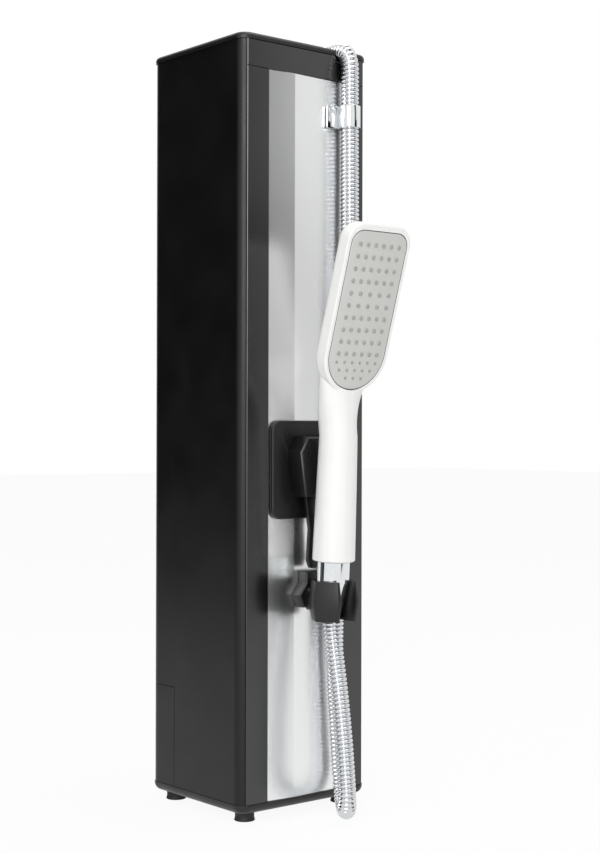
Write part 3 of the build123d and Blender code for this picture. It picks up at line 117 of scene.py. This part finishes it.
def powder_coat():
    """Powder coat, sprayed and baked: satin black with a fine orange peel and cloudy gloss."""
    cloud_size = 35 * mm
    peel_size = 0.9 * mm
    peel_depth = 0.02 * mm
    material, tree = start_material("satin black powder coat on steel")
    place = add(tree, "ShaderNodeTexCoord").outputs["Object"]
    cloud_place = add(tree, "ShaderNodeMapping", {"Scale": blotches(cloud_size)}, {"Vector": place})
    clouds = add(
        tree,
        "ShaderNodeTexNoise",
        {"Scale": 1.0, "Detail": 4.0, "Roughness": 0.6},
        {"Vector": cloud_place.outputs[0]},
    )
    peel_place = add(tree, "ShaderNodeMapping", {"Scale": blotches(peel_size)}, {"Vector": place})
    peel = add(
        tree,
        "ShaderNodeTexNoise",
        {"Scale": 1.0, "Detail": 2.0, "Roughness": 0.5},
        {"Vector": peel_place.outputs[0]},
    )
    tint = add(
        tree,
        "ShaderNodeMix",
        {"data_type": "RGBA", mix_first: colour("#08080a"), mix_second: colour("#0e0e0f")},
        {mix_factor: clouds.outputs[0]},
    )
    gloss = add(
        tree,
        "ShaderNodeMapRange",
        {**noise_span, "To Min": 0.3, "To Max": 0.4},
        {"Value": clouds.outputs[0]},
    )
    relief = add(
        tree,
        "ShaderNodeBump",
        {"Strength": 0.5, "Distance": peel_depth},
        {"Height": peel.outputs[0]},
    )
    shader = add(
        tree,
        "ShaderNodeBsdfPrincipled",
        {"IOR": 1.5, "Specular IOR Level": 0.35},
        {
            "Base Color": tint.outputs[mix_result],
            "Roughness": gloss.outputs[0],
            "Normal": relief.outputs[0],
        },
    )
    close_material(tree, shader)
    return material


def gloss_lacquer():
    """Lacquer on the flat strips and the header: smoother than the shell, so it mirrors softly."""
    cloud_size = 60 * mm
    peel_size = 1.4 * mm
    peel_depth = 0.01 * mm
    material, tree = start_material("gloss black lacquer on aluminium")
    place = add(tree, "ShaderNodeTexCoord").outputs["Object"]
    cloud_place = add(tree, "ShaderNodeMapping", {"Scale": blotches(cloud_size)}, {"Vector": place})
    clouds = add(
        tree,
        "ShaderNodeTexNoise",
        {"Scale": 1.0, "Detail": 3.0, "Roughness": 0.5},
        {"Vector": cloud_place.outputs[0]},
    )
    peel_place = add(tree, "ShaderNodeMapping", {"Scale": blotches(peel_size)}, {"Vector": place})
    peel = add(
        tree,
        "ShaderNodeTexNoise",
        {"Scale": 1.0, "Detail": 2.0, "Roughness": 0.5},
        {"Vector": peel_place.outputs[0]},
    )
    tint = add(
        tree,
        "ShaderNodeMix",
        {"data_type": "RGBA", mix_first: colour("#070708"), mix_second: colour("#0b0b0c")},
        {mix_factor: clouds.outputs[0]},
    )
    gloss = add(
        tree,
        "ShaderNodeMapRange",
        {**noise_span, "To Min": 0.18, "To Max": 0.24},
        {"Value": clouds.outputs[0]},
    )
    relief = add(
        tree,
        "ShaderNodeBump",
        {"Strength": 0.3, "Distance": peel_depth},
        {"Height": peel.outputs[0]},
    )
    shader = add(
        tree,
        "ShaderNodeBsdfPrincipled",
        {"IOR": 1.5, "Specular IOR Level": 0.9},
        {
            "Base Color": tint.outputs[mix_result],
            "Roughness": gloss.outputs[0],
            "Normal": relief.outputs[0],
        },
    )
    close_material(tree, shader)
    return material


def polished_aluminium():
    """Rolled, polished and clear anodised sheet: nearly a mirror, blurred along its length.

    The rolling grain is drawn several times coarser than the real one, so that it can show.
    """
    grain_size = 0.8 * mm
    grain_stretch = (1, 1, 0.02)
    grain_depth = 0.004 * mm
    cloud_size = 50 * mm
    cloud_stretch = (1, 1, 0.4)
    material, tree = start_material("polished anodised aluminium")
    place = add(tree, "ShaderNodeTexCoord").outputs["Object"]
    grain_place = add(
        tree,
        "ShaderNodeMapping",
        {"Scale": blotches(grain_size, grain_stretch)},
        {"Vector": place},
    )
    grain = add(
        tree,
        "ShaderNodeTexNoise",
        {"Scale": 1.0, "Detail": 3.0, "Roughness": 0.6},
        {"Vector": grain_place.outputs[0]},
    )
    cloud_place = add(
        tree,
        "ShaderNodeMapping",
        {"Scale": blotches(cloud_size, cloud_stretch)},
        {"Vector": place},
    )
    clouds = add(
        tree,
        "ShaderNodeTexNoise",
        {"Scale": 1.0, "Detail": 3.0, "Roughness": 0.5},
        {"Vector": cloud_place.outputs[0]},
    )
    tint = add(
        tree,
        "ShaderNodeMix",
        {"data_type": "RGBA", mix_first: colour("#eceded"), mix_second: colour("#f3f3f3")},
        {mix_factor: clouds.outputs[0]},
    )
    gloss = add(
        tree,
        "ShaderNodeMapRange",
        {**noise_span, "To Min": 0.24, "To Max": 0.28},
        {"Value": clouds.outputs[0]},
    )
    relief = add(
        tree,
        "ShaderNodeBump",
        {"Strength": 0.15, "Distance": grain_depth},
        {"Height": grain.outputs[0]},
    )
    shader = add(
        tree,
        "ShaderNodeBsdfPrincipled",
        {"Metallic": 1.0},
        {
            "Base Color": tint.outputs[mix_result],
            "Roughness": gloss.outputs[0],
            "Normal": relief.outputs[0],
        },
    )
    close_material(tree, shader)
    return material


def moulded(name, dark, light, smooth, rough, grain_size=0.5 * mm, grain_depth=0.01 * mm):
    """Moulded plastic or rubber: even colour, a spark-eroded grain and slightly uneven gloss.

    The grain is drawn several times coarser than the real one, so that it can show.
    """
    cloud_size = 14 * mm
    material, tree = start_material(name)
    place = add(tree, "ShaderNodeTexCoord").outputs["Object"]
    cloud_place = add(tree, "ShaderNodeMapping", {"Scale": blotches(cloud_size)}, {"Vector": place})
    clouds = add(
        tree,
        "ShaderNodeTexNoise",
        {"Scale": 1.0, "Detail": 3.0, "Roughness": 0.5},
        {"Vector": cloud_place.outputs[0]},
    )
    grain_place = add(tree, "ShaderNodeMapping", {"Scale": blotches(grain_size)}, {"Vector": place})
    grain = add(
        tree,
        "ShaderNodeTexNoise",
        {"Scale": 1.0, "Detail": 2.0, "Roughness": 0.5},
        {"Vector": grain_place.outputs[0]},
    )
    tint = add(
        tree,
        "ShaderNodeMix",
        {"data_type": "RGBA", mix_first: colour(dark), mix_second: colour(light)},
        {mix_factor: clouds.outputs[0]},
    )
    gloss = add(
        tree,
        "ShaderNodeMapRange",
        {**noise_span, "To Min": smooth, "To Max": rough},
        {"Value": clouds.outputs[0]},
    )
    relief = add(
        tree,
        "ShaderNodeBump",
        {"Strength": 0.5, "Distance": grain_depth},
        {"Height": grain.outputs[0]},
    )
    shader = add(
        tree,
        "ShaderNodeBsdfPrincipled",
        {"IOR": 1.5},
        {
            "Base Color": tint.outputs[mix_result],
            "Roughness": gloss.outputs[0],
            "Normal": relief.outputs[0],
        },
    )
    close_material(tree, shader)
    return material


def bare_metal(name, dark, light, smooth, rough):
    """Plated, polished or turned metal: a mirror with faint marks left by the polishing.

    The marks are drawn several times coarser than the real ones, so that they can show.
    """
    mark_size = 1.6 * mm
    mark_stretch = (1, 1, 0.3)
    mark_depth = 0.003 * mm
    material, tree = start_material(name)
    place = add(tree, "ShaderNodeTexCoord").outputs["Object"]
    mark_place = add(
        tree,
        "ShaderNodeMapping",
        {"Scale": blotches(mark_size, mark_stretch)},
        {"Vector": place},
    )
    marks = add(
        tree,
        "ShaderNodeTexNoise",
        {"Scale": 1.0, "Detail": 4.0, "Roughness": 0.6},
        {"Vector": mark_place.outputs[0]},
    )
    tint = add(
        tree,
        "ShaderNodeMix",
        {"data_type": "RGBA", mix_first: colour(dark), mix_second: colour(light)},
        {mix_factor: marks.outputs[0]},
    )
    gloss = add(
        tree,
        "ShaderNodeMapRange",
        {**noise_span, "To Min": smooth, "To Max": rough},
        {"Value": marks.outputs[0]},
    )
    relief = add(
        tree,
        "ShaderNodeBump",
        {"Strength": 0.2, "Distance": mark_depth},
        {"Height": marks.outputs[0]},
    )
    shader = add(
        tree,
        "ShaderNodeBsdfPrincipled",
        {"Metallic": 1.0},
        {
            "Base Color": tint.outputs[mix_result],
            "Roughness": gloss.outputs[0],
            "Normal": relief.outputs[0],
        },
    )
    close_material(tree, shader)
    return material


def make_materials():
    """One finish for each slot of the record, by name, two colours and a span of roughness."""
    return {
        "black_powder_coat": powder_coat(),
        "polished_aluminium": polished_aluminium(),
        # Moulded with a light grain: soft, even highlights on the mixer plate and the holder
        "black_plastic": moulded("satin black ABS", "#0b0b0c", "#111112", 0.36, 0.46),
        # Cast and painted: a little glossier than the plastic beside it
        "black_metal": moulded(
            "satin black painted zinc", "#0b0b0c", "#101011", 0.3, 0.38, grain_size=0.7 * mm
        ),
        # Electroplated over polished brass: bright and sharp, with a cool tint
        "chrome": bare_metal("bright chrome on brass", "#d9dcdf", "#eceeef", 0.04, 0.08),
        # Wound from polished strip: bright bands, a little softer than chrome
        "hose_steel": bare_metal("polished stainless strip", "#c6c8cb", "#dfe1e3", 0.07, 0.12),
        # Moulded in a polished tool: clean white with a clear highlight
        "white_gloss": moulded(
            "gloss white ABS",
            "#f1f1ef",
            "#f5f5f4",
            0.16,
            0.22,
            grain_size=1.2 * mm,
            grain_depth=0.004 * mm,
        ),
        # Moulded in a textured tool: a quiet grey beside the glossy white
        "grey_plate": moulded("satin light grey ABS", "#c9c9c6", "#cfcfcc", 0.34, 0.42),
        # Moulded soft: dull and a shade darker than the plate around it
        "nozzle_silicone": moulded(
            "soft grey silicone", "#9f9f9c", "#a9a9a6", 0.5, 0.6, grain_size=0.3 * mm
        ),
        # Moulded rubber: nearly matt black, with a coarse skin
        "foot_rubber": moulded(
            "black rubber",
            "#101011",
            "#161617",
            0.6,
            0.75,
            grain_size=0.4 * mm,
            grain_depth=0.02 * mm,
        ),
        # Cut from fibre and rubber sheet: matt, the dullest of the blacks
        "washer_rubber": moulded(
            "black fibre rubber",
            "#141414",
            "#1b1b1b",
            0.65,
            0.8,
            grain_size=0.4 * mm,
            grain_depth=0.02 * mm,
        ),
        # Turned and left bare: grey metal with a blurred highlight
        "stainless_screw": bare_metal("turned stainless steel", "#a9abad", "#bfc1c3", 0.22, 0.32),
        # Machined and left bare: warm yellow with a blurred highlight
        "brass": bare_metal("machined brass", "#b08d47", "#c6a35a", 0.24, 0.34),
        # Moulded acetal: dense, slightly creamy white
        "cartridge_plastic": moulded("white acetal", "#dedcd4", "#e8e6df", 0.4, 0.5),
        # Extruded tube: plain dull white
        "white_tube": moulded(
            "white polyethylene tube", "#dcdcd8", "#e6e6e2", 0.4, 0.5, grain_size=1.0 * mm
        ),
        # Extruded tube coloured through: plain dull red
        "red_tube": moulded(
            "red polyethylene tube", "#93201b", "#a52a22", 0.4, 0.5, grain_size=1.0 * mm
        ),
        # Blow-moulded: dull black with a skin that is uneven to the touch
        "tank_plastic": moulded(
            "blow-moulded black polyethylene",
            "#101011",
            "#18181a",
            0.45,
            0.6,
            grain_size=1.5 * mm,
            grain_depth=0.03 * mm,
        ),
        # Moulded polypropylene: dark grey and waxy
        "stand_plastic": moulded(
            "dark grey polypropylene",
            "#242426",
            "#2c2c2e",
            0.5,
            0.6,
            grain_size=0.8 * mm,
            grain_depth=0.02 * mm,
        ),
    }


materials = make_materials()
strip_finish = gloss_lacquer()


def finish_cad_nodes():
    """Gives each carried-over solid the finish of its slot in the record."""
    for entry in frame["record"]["subparts"]:
        piece = nodes[entry["node"]]
        piece.data.materials.clear()
        piece.data.materials.append(materials[entry["material_slot"]])
    for name in ("header_panel", "front_strip_left", "front_strip_right"):
        nodes[name].data.materials.clear()
        nodes[name].data.materials.append(strip_finish)


# Modelling helpers
def rest():
    """Leaves edit mode with nothing selected, because the loaded solids start selected."""
    if bpy.context.object and bpy.context.object.mode != "OBJECT":
        bpy.ops.object.mode_set(mode="OBJECT")
    bpy.ops.object.select_all(action="DESELECT")


def activate(piece):
    rest()
    piece.select_set(True)
    bpy.context.view_layer.objects.active = piece


def pick(piece, wanted, kind="VERT"):
    """Selects the vertices, or the faces, of the piece being edited whose place passes a test."""
    bpy.ops.mesh.select_mode(type=kind)
    bpy.ops.mesh.select_all(action="DESELECT")
    bpy.ops.object.mode_set(mode="OBJECT")
    if kind == "VERT":
        for vertex in piece.data.vertices:
            vertex.select = wanted(vertex.co)
    else:
        for face in piece.data.polygons:
            face.select = wanted(face.center)
    bpy.ops.object.mode_set(mode="EDIT")


def settle(piece, matrix=None):
    """Puts a piece's place into its mesh."""
    activate(piece)
    if matrix is not None:
        piece.matrix_world = matrix @ piece.matrix_world
    bpy.ops.object.transform_apply(location=True, rotation=True, scale=True)


def finish_piece(piece, name, body, slot, replaced=(), angle=35):
    """Turns the faces outwards, smooths edges up to an angle, and gives finish, body and slot."""
    piece.name = name
    activate(piece)
    bpy.ops.object.mode_set(mode="EDIT")
    bpy.ops.mesh.select_all(action="SELECT")
    bpy.ops.mesh.normals_make_consistent(inside=False)
    rest()
    activate(piece)
    bpy.ops.object.shade_smooth_by_angle(angle=math.radians(angle))
    piece.data.materials.clear()
    piece.data.materials.append(materials[slot])
    if body:
        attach(piece, body)
    if replaced:
        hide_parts(*replaced)
    return piece


def softened(node, body, slot, edge_radius):
    """A copy of a solid, merged into its flat faces, with the small edge radius of the real one."""
    piece = nodes[node].copy()
    piece.data = nodes[node].data.copy()
    piece.parent = None
    piece.matrix_world = Matrix()
    bpy.context.scene.collection.objects.link(piece)
    activate(piece)
    bpy.ops.object.mode_set(mode="EDIT")
    bpy.ops.mesh.select_all(action="SELECT")
    bpy.ops.mesh.remove_doubles(threshold=0.01 * mm)
    bpy.ops.mesh.dissolve_limited(angle_limit=math.radians(0.5))
    rest()
    activate(piece)
    bevel = piece.modifiers.new("edge radius", "BEVEL")
    bevel.width = edge_radius
    bevel.segments = 2
    bevel.limit_method = "ANGLE"
    bevel.angle_limit = math.radians(32)
    bpy.ops.object.modifier_apply(modifier=bevel.name)
    return finish_piece(piece, node + "_finished", body, slot, (node,))


# Shower hose: wound steel strip, so a stack of rounded bands with narrow dark gaps.
# Its route, in millimetres: up the rear, over the cap, down the front, round at the floor
# and up into the cone nut
hose_points = (
    (36.5, 73, 76.5),
    (36.5, 73, 114),
    (37.9, 74.6, 185),
    (39.1, 76.0, 270),
    (38.9, 76.0, 360),
    (37.8, 75.0, 440),
    (36.8, 73.6, 505),
    (36.5, 73, 558.5),
    (36.5, 73, 594.5),
    (37.0, 37.0, 594.5),
    (37.3, 2.5, 594.5),
    (37.0, -32, 594.5),
    (36.5, -68, 594.5),
    (36.5, -68, 558.5),
    (36.8, -67.9, 500),
    (36.7, -68.6, 430),
    (35.7, -69.4, 360),
    (33.9, -69.9, 300),
    (30.2, -69.9, 240),
    (24.0, -69.0, 185),
    (20.5, -68.5, 130),
    (24.5, -69.2, 70),
    (29.0, -69.7, 6.8),
    (3.0, -106.0, 6.8),
    (1.0, -104.5, 50),
    (0.4, -99.3, 93),
    (0.1, -92.7, 129),
    (0, -89.33, 151.07),
    (0, -90.225, 167.05),
)
band_pitch = 3.25 * mm
gap_radius = 5.55

# A band's rings: where each lies along the pitch, and its radius in millimetres
band_rings = ((0.16, 6.3), (0.5, 6.5), (0.84, 6.3))


def make_hose():
    curve = bpy.data.curves.new("hose line", "CURVE")
    curve.dimensions = "3D"
    curve.resolution_u = 24
    spline = curve.splines.new("NURBS")
    spline.points.add(len(hose_points) - 1)
    for point, (x, y, z) in zip(spline.points, hose_points):
        point.co = (x * mm, y * mm, z * mm, 1)
    spline.order_u = 3
    spline.use_endpoint_u = True
    line = bpy.data.objects.new("hose line", curve)
    bpy.context.scene.collection.objects.link(line)
    bpy.context.view_layer.update()
    traced = bpy.data.meshes.new_from_object(line)
    path = [tuple(v.co) for v in traced.vertices]
    length = sum((Vector(a) - Vector(b)).length for a, b in zip(path, path[1:]))
    count = round(length / band_pitch)
    pitch = length / count
    rest()
    bpy.ops.mesh.primitive_cylinder_add(
        vertices=16,
        radius=gap_radius * mm,
        depth=pitch,
        end_fill_type="NOTHING",
        location=(pitch / 2, 0, 0),
        rotation=(0, math.radians(90), 0),
    )
    hose = bpy.context.active_object
    settle(hose)
    bpy.ops.object.mode_set(mode="EDIT")
    for share, radius in band_rings:
        bpy.ops.mesh.select_all(action="SELECT")
        bpy.ops.mesh.bisect(plane_co=(share * pitch, 0, 0), plane_no=(1, 0, 0))
        pick(hose, lambda co: abs(co.x - share * pitch) < 0.02 * mm)
        size = radius / gap_radius
        bpy.ops.transform.resize(value=(1, size, size), center_override=(share * pitch, 0, 0))
    rest()
    activate(hose)
    stack = hose.modifiers.new("bands", "ARRAY")
    stack.count = count
    stack.use_merge_vertices = True
    stack.merge_threshold = 0.05 * mm
    bend = hose.modifiers.new("along the line", "CURVE")
    bend.object = line
    bpy.ops.object.modifier_apply(modifier=stack.name)
    bpy.ops.object.modifier_apply(modifier=bend.name)
    bpy.ops.object.mode_set(mode="EDIT")
    bpy.ops.mesh.select_all(action="SELECT")
    bpy.ops.mesh.fill_holes(sides=32)
    rest()
    bpy.data.objects.remove(line)
    finish_piece(hose, "ribbed_hose", None, "hose_steel", angle=60)
    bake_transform(hose)
    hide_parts("shower_hose")


# Front panel: polished sheet with a shallow fold left of its middle, which splits its reflection
def make_front_panel():
    low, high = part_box("front_panel")
    fold_x = -12 * mm
    recess = 1.3 * mm
    valve_radius = 18.3 * mm
    valve_z = 271 * mm
    middle = (Vector(low) + Vector(high)) / 2
    rest()
    bpy.ops.mesh.primitive_cube_add(size=1, location=middle)
    panel = bpy.context.active_object
    panel.scale = Vector(high) - Vector(low)
    settle(panel)
    bpy.ops.object.mode_set(mode="EDIT")
    bpy.ops.mesh.select_all(action="SELECT")
    bpy.ops.mesh.bisect(plane_co=(fold_x, 0, 0), plane_no=(1, 0, 0))
    pick(panel, lambda co: co.y < middle.y and abs(co.x - fold_x) > 1 * mm)
    bpy.ops.transform.translate(value=(0, recess, 0))
    rest()
    bpy.ops.mesh.primitive_cylinder_add(
        vertices=48,
        radius=valve_radius,
        depth=20 * mm,
        location=(0, front_y, valve_z),
        rotation=(math.radians(90), 0, 0),
    )
    punch = bpy.context.active_object
    activate(panel)
    hole = panel.modifiers.new("valve opening", "BOOLEAN")
    hole.operation = "DIFFERENCE"
    hole.object = punch
    bpy.ops.object.modifier_apply(modifier=hole.name)
    bpy.data.objects.remove(punch)
    edge = panel.modifiers.new("edge radius", "BEVEL")
    edge.width = 0.3 * mm
    edge.segments = 2
    edge.limit_method = "ANGLE"
    edge.angle_limit = math.radians(40)
    bpy.ops.object.modifier_apply(modifier=edge.name)
    slot = "polished_aluminium"
    finish_piece(panel, "polished_front_panel", "column", slot, ("front_panel",), angle=1)


# Spray head: plate, seal and nozzles, modelled flat and then laid on the leaning face.
# The columns are the way across the face, up it and out of it, and its origin
face_lean = -0.2940
face_rise = 0.9558
head_place = Matrix(
    (
        (1, 0, 0, 0),
        (0, face_lean, -face_rise, -110.3 * mm),
        (0, face_rise, face_lean, 325.5 * mm),
        (0, 0, 0, 1),
    )
)

# Height on the face of the first full row, which is also the middle of the rounded lower end
first_row = 27.5
row_pitch = 9.1
wide_pitch = 9.3
close_pitch = 7.6


def rounded_sheet(half_width, top, corner, base, thickness):
    """A sheet with a half-round lower end and two rounded upper corners."""
    rest()
    bpy.ops.mesh.primitive_plane_add(size=1, location=(0, 0, 0))
    sheet = bpy.context.active_object
    bottom = first_row * mm - half_width
    sheet.scale = (2 * half_width, top - bottom, 1)
    sheet.location = (0, (top + bottom) / 2, base)
    settle(sheet)
    bpy.ops.object.mode_set(mode="EDIT")
    pick(sheet, lambda co: co.y > top - 0.1 * mm)
    bpy.ops.mesh.bevel(offset=corner, segments=10, affect="VERTICES")
    pick(sheet, lambda co: co.y < bottom + 0.1 * mm)
    bpy.ops.mesh.bevel(offset=half_width * 0.999, segments=28, affect="VERTICES")
    bpy.ops.mesh.select_all(action="SELECT")
    bpy.ops.mesh.extrude_region_move(TRANSFORM_OT_translate={"value": (0, 0, thickness)})
    rest()
    return sheet


def make_spray_plate():
    plate = rounded_sheet(
        half_width=26.9 * mm,
        top=119.4 * mm,
        corner=10.6 * mm,
        base=-2.1 * mm,
        thickness=2.4 * mm,
    )
    activate(plate)
    bevel = plate.modifiers.new("edge radius", "BEVEL")
    bevel.width = 0.5 * mm
    bevel.segments = 3
    bevel.limit_method = "ANGLE"
    bpy.ops.object.modifier_apply(modifier=bevel.name)
    settle(plate, head_place)
    finish_piece(plate, "spray_plate", "handset", "grey_plate", ("handset_spray_plate",))
    seal = rounded_sheet(
        half_width=27.45 * mm,
        top=119.95 * mm,
        corner=11 * mm,
        base=-1.9 * mm,
        thickness=1.75 * mm,
    )
    settle(seal, head_place)
    finish_piece(seal, "spray_seal", "handset", "washer_rubber")


def nozzle(radius, height):
    """One soft nozzle: a short domed post with a dimple at its mouth."""
    foot = 0.2 * mm
    top = foot + height
    dimple_depth = 0.18 * mm
    shoulder_drop = 0.4 * mm
    rest()
    bpy.ops.mesh.primitive_cylinder_add(
        vertices=14,
        radius=radius,
        depth=height,
        location=(0, 0, foot + height / 2),
    )
    post = bpy.context.active_object
    settle(post)
    bpy.ops.object.mode_set(mode="EDIT")
    pick(post, lambda co: co.z > top - 0.01 * mm, "FACE")
    bpy.ops.mesh.inset(thickness=radius * 0.28, depth=0)
    bpy.ops.mesh.inset(thickness=radius * 0.3, depth=0)
    bpy.ops.transform.translate(value=(0, 0, -dimple_depth))
    pick(post, lambda co: co.z > top - 0.01 * mm and math.hypot(co.x, co.y) > radius * 0.9)
    bpy.ops.transform.translate(value=(0, 0, -shoulder_drop))
    rest()
    return post


def make_nozzles():
    """Ten full rows, with the middle two spread wide, and three shorter rows of small nozzles."""
    rows = [(5, wide_pitch) if row in (4, 5) else (6, close_pitch) for row in range(10)]
    large = [
        ((i - (count - 1) / 2) * pitch, first_row + row * row_pitch)
        for row, (count, pitch) in enumerate(rows)
        for i in range(count)
    ]
    small = [
        ((i - (count - 1) / 2) * close_pitch, v)
        for count, v in ((6, 21.0), (5, 15.0), (3, 9.0))
        for i in range(count)
    ]
    posts = []
    for radius, height, places in ((1.6 * mm, 1.1 * mm, large), (1.15 * mm, 0.9 * mm, small)):
        first = nozzle(radius, height)
        for u, v in places:
            post = first.copy()
            post.data = first.data.copy()
            post.location = (u * mm, v * mm, 0)
            bpy.context.scene.collection.objects.link(post)
            posts.append(post)
        bpy.data.objects.remove(first)
    rest()
    for post in posts:
        post.select_set(True)
    bpy.context.view_layer.objects.active = posts[0]
    bpy.ops.object.join()
    nozzles = bpy.context.active_object
    settle(nozzles, head_place)
    replaced = ("handset_nozzle_mat",)
    finish_piece(nozzles, "spray_nozzles", "handset", "nozzle_silicone", replaced, angle=50)


# Studio
def studio_floor():
    """A matt floor that is nearly white to the camera and to reflections, and keeps the shadow."""
    white_share = 0.93
    rest()
    bpy.ops.mesh.primitive_plane_add(size=16, location=(0, 0, 0))
    floor = bpy.context.active_object
    floor.name = "studio_floor"
    material, tree = start_material("white studio floor")
    matt = add(tree, "ShaderNodeBsdfDiffuse", {"Color": colour("#fbfbfb")})
    glow = add(tree, "ShaderNodeEmission", {"Color": colour("#ffffff"), "Strength": 1.0})
    path = add(tree, "ShaderNodeLightPath")
    seen = add(
        tree,
        "ShaderNodeMath",
        {"operation": "MAXIMUM"},
        {0: path.outputs["Is Camera Ray"], 1: path.outputs["Is Glossy Ray"]},
    )
    also = add(
        tree,
        "ShaderNodeMath",
        {"operation": "MAXIMUM"},
        {0: seen.outputs[0], 1: path.outputs["Is Transmission Ray"]},
    )
    share = add(
        tree,
        "ShaderNodeMath",
        {"operation": "MULTIPLY", 1: white_share},
        {0: also.outputs[0]},
    )
    mixed = add(
        tree,
        "ShaderNodeMixShader",
        links={0: share.outputs[0], 1: matt.outputs[0], 2: glow.outputs[0]},
    )
    close_material(tree, mixed)
    floor.data.materials.append(material)


def studio_world():
    """A room that lights softly and is white to the camera and to reflections."""
    world = bpy.data.worlds.new("studio")
    bpy.context.scene.world = world
    world.use_nodes = True
    tree = world.node_tree
    tree.nodes.clear()
    path = add(tree, "ShaderNodeLightPath")
    room = add(tree, "ShaderNodeBackground", {"Color": colour("#ffffff"), "Strength": 0.5})
    white = add(tree, "ShaderNodeBackground", {"Color": colour("#ffffff"), "Strength": 1.0})
    seen = add(
        tree,
        "ShaderNodeMath",
        {"operation": "MAXIMUM"},
        {0: path.outputs["Is Camera Ray"], 1: path.outputs["Is Glossy Ray"]},
    )
    also = add(
        tree,
        "ShaderNodeMath",
        {"operation": "MAXIMUM"},
        {0: seen.outputs[0], 1: path.outputs["Is Transmission Ray"]},
    )
    mixed = add(
        tree,
        "ShaderNodeMixShader",
        links={0: also.outputs[0], 1: room.outputs[0], 2: white.outputs[0]},
    )
    add(tree, "ShaderNodeOutputWorld", links={"Surface": mixed.outputs[0]})


def reflected_panel(name, left, right, bottom, top, levels, strength=1.0):
    """An upright panel that only reflections see, between two floor points.

    Its levels are pairs of a share of its height and the grey that it has there.
    """
    rest()
    upright = (math.radians(90), 0, 0)
    bpy.ops.mesh.primitive_plane_add(size=1, location=(0, 0, 0), rotation=upright)
    panel = bpy.context.active_object
    a, b = Vector((*left, 0)), Vector((*right, 0))
    panel.scale = ((b - a).length, top - bottom, 1)
    settle(panel)
    panel.rotation_euler = (0, 0, math.atan2(b.y - a.y, b.x - a.x))
    panel.location = (a + b) / 2 + Vector((0, 0, (top + bottom) / 2))
    settle(panel)
    panel.name = name
    material, tree = start_material(name + " cloth")
    place = add(tree, "ShaderNodeTexCoord")
    split = add(tree, "ShaderNodeSeparateXYZ", links={"Vector": place.outputs["Object"]})
    height = add(
        tree,
        "ShaderNodeMapRange",
        {"From Min": bottom, "From Max": top},
        {"Value": split.outputs["Z"]},
    )
    ramp = add(tree, "ShaderNodeValToRGB", links={"Fac": height.outputs[0]})
    for share, _ in levels[1:-1]:
        ramp.color_ramp.elements.new(share)
    for element, (share, level) in zip(ramp.color_ramp.elements, levels):
        element.position = share
        element.color = (level, level, level, 1)
    glow = add(tree, "ShaderNodeEmission", {"Strength": strength}, {"Color": ramp.outputs[0]})
    close_material(tree, glow)
    panel.data.materials.append(material)
    panel.visible_camera = False
    panel.visible_diffuse = False
    panel.visible_shadow = False


def softbox(name, place, target, width, height, power):
    light = bpy.data.lights.new(name, "AREA")
    light.shape = "RECTANGLE"
    light.size = width
    light.size_y = height
    light.energy = power
    lamp = bpy.data.objects.new(name, light)
    lamp.location = place
    lamp.rotation_euler = (Vector(target) - Vector(place)).to_track_quat("-Z", "Y").to_euler()
    bpy.context.scene.collection.objects.link(lamp)


def light_studio():
    """Two softboxes, three dark flags and a bright strip for the column's front corner."""
    softbox(
        "key softbox",
        place=(-1.3, -1.2, 0.85),
        target=(0, 0, 0.35),
        width=0.7,
        height=1.3,
        power=15,
    )
    softbox(
        "top softbox",
        place=(0.3, -0.3, 2.0),
        target=(0, 0, 0.3),
        width=1.2,
        height=1.2,
        power=12,
    )
    reflected_panel(
        "front flag",
        left=(0.25, -1.06),
        right=(0.70, -1.06),
        bottom=0.0,
        top=1.3,
        levels=(
            (0, 0.08),
            (0.07, 0.16),
            (0.12, 0.1),
            (0.24, 0.012),
            (0.38, 0.012),
            (0.44, 0.06),
            (0.5, 0.18),
            (1, 0.14),
        ),
    )
    reflected_panel(
        "small flag",
        left=(0.45, -1.0),
        right=(0.79, -1.0),
        bottom=0.3,
        top=0.62,
        levels=((0, 0.02), (0.5, 0.0), (1, 0.02)),
    )
    reflected_panel(
        "corner strip light",
        left=(-1.32, -0.9),
        right=(-1.1, -1.14),
        bottom=0.0,
        top=1.5,
        levels=((0, 0.15), (0.25, 0.5), (0.6, 1.0), (1, 1.0)),
        strength=7.0,
    )
    reflected_panel(
        "side flag",
        left=(-1.45, 0.35),
        right=(-0.25, 1.6),
        bottom=0.0,
        top=1.5,
        levels=((0, 0.05), (0.2, 0.02), (0.9, 0.01), (1, 0.01)),
    )


place_camera()
finish_cad_nodes()
make_hose()
make_front_panel()
make_spray_plate()
make_nozzles()
softened("mixer_plate", "column", "black_plastic", 0.5 * mm)
softened("mixer_handle", "mixer_control", "black_metal", 0.5 * mm)
softened("mixer_lever", "mixer_control", "black_metal", 0.4 * mm)
softened("holder_base", "column", "black_plastic", 0.5 * mm)
softened("holder_cradle", "column", "black_plastic", 0.6 * mm)
softened("hose_guide", "column", "chrome", 0.25 * mm)
studio_floor()
studio_world()
light_studio()
bpy.context.scene.view_settings.view_transform = "Standard"
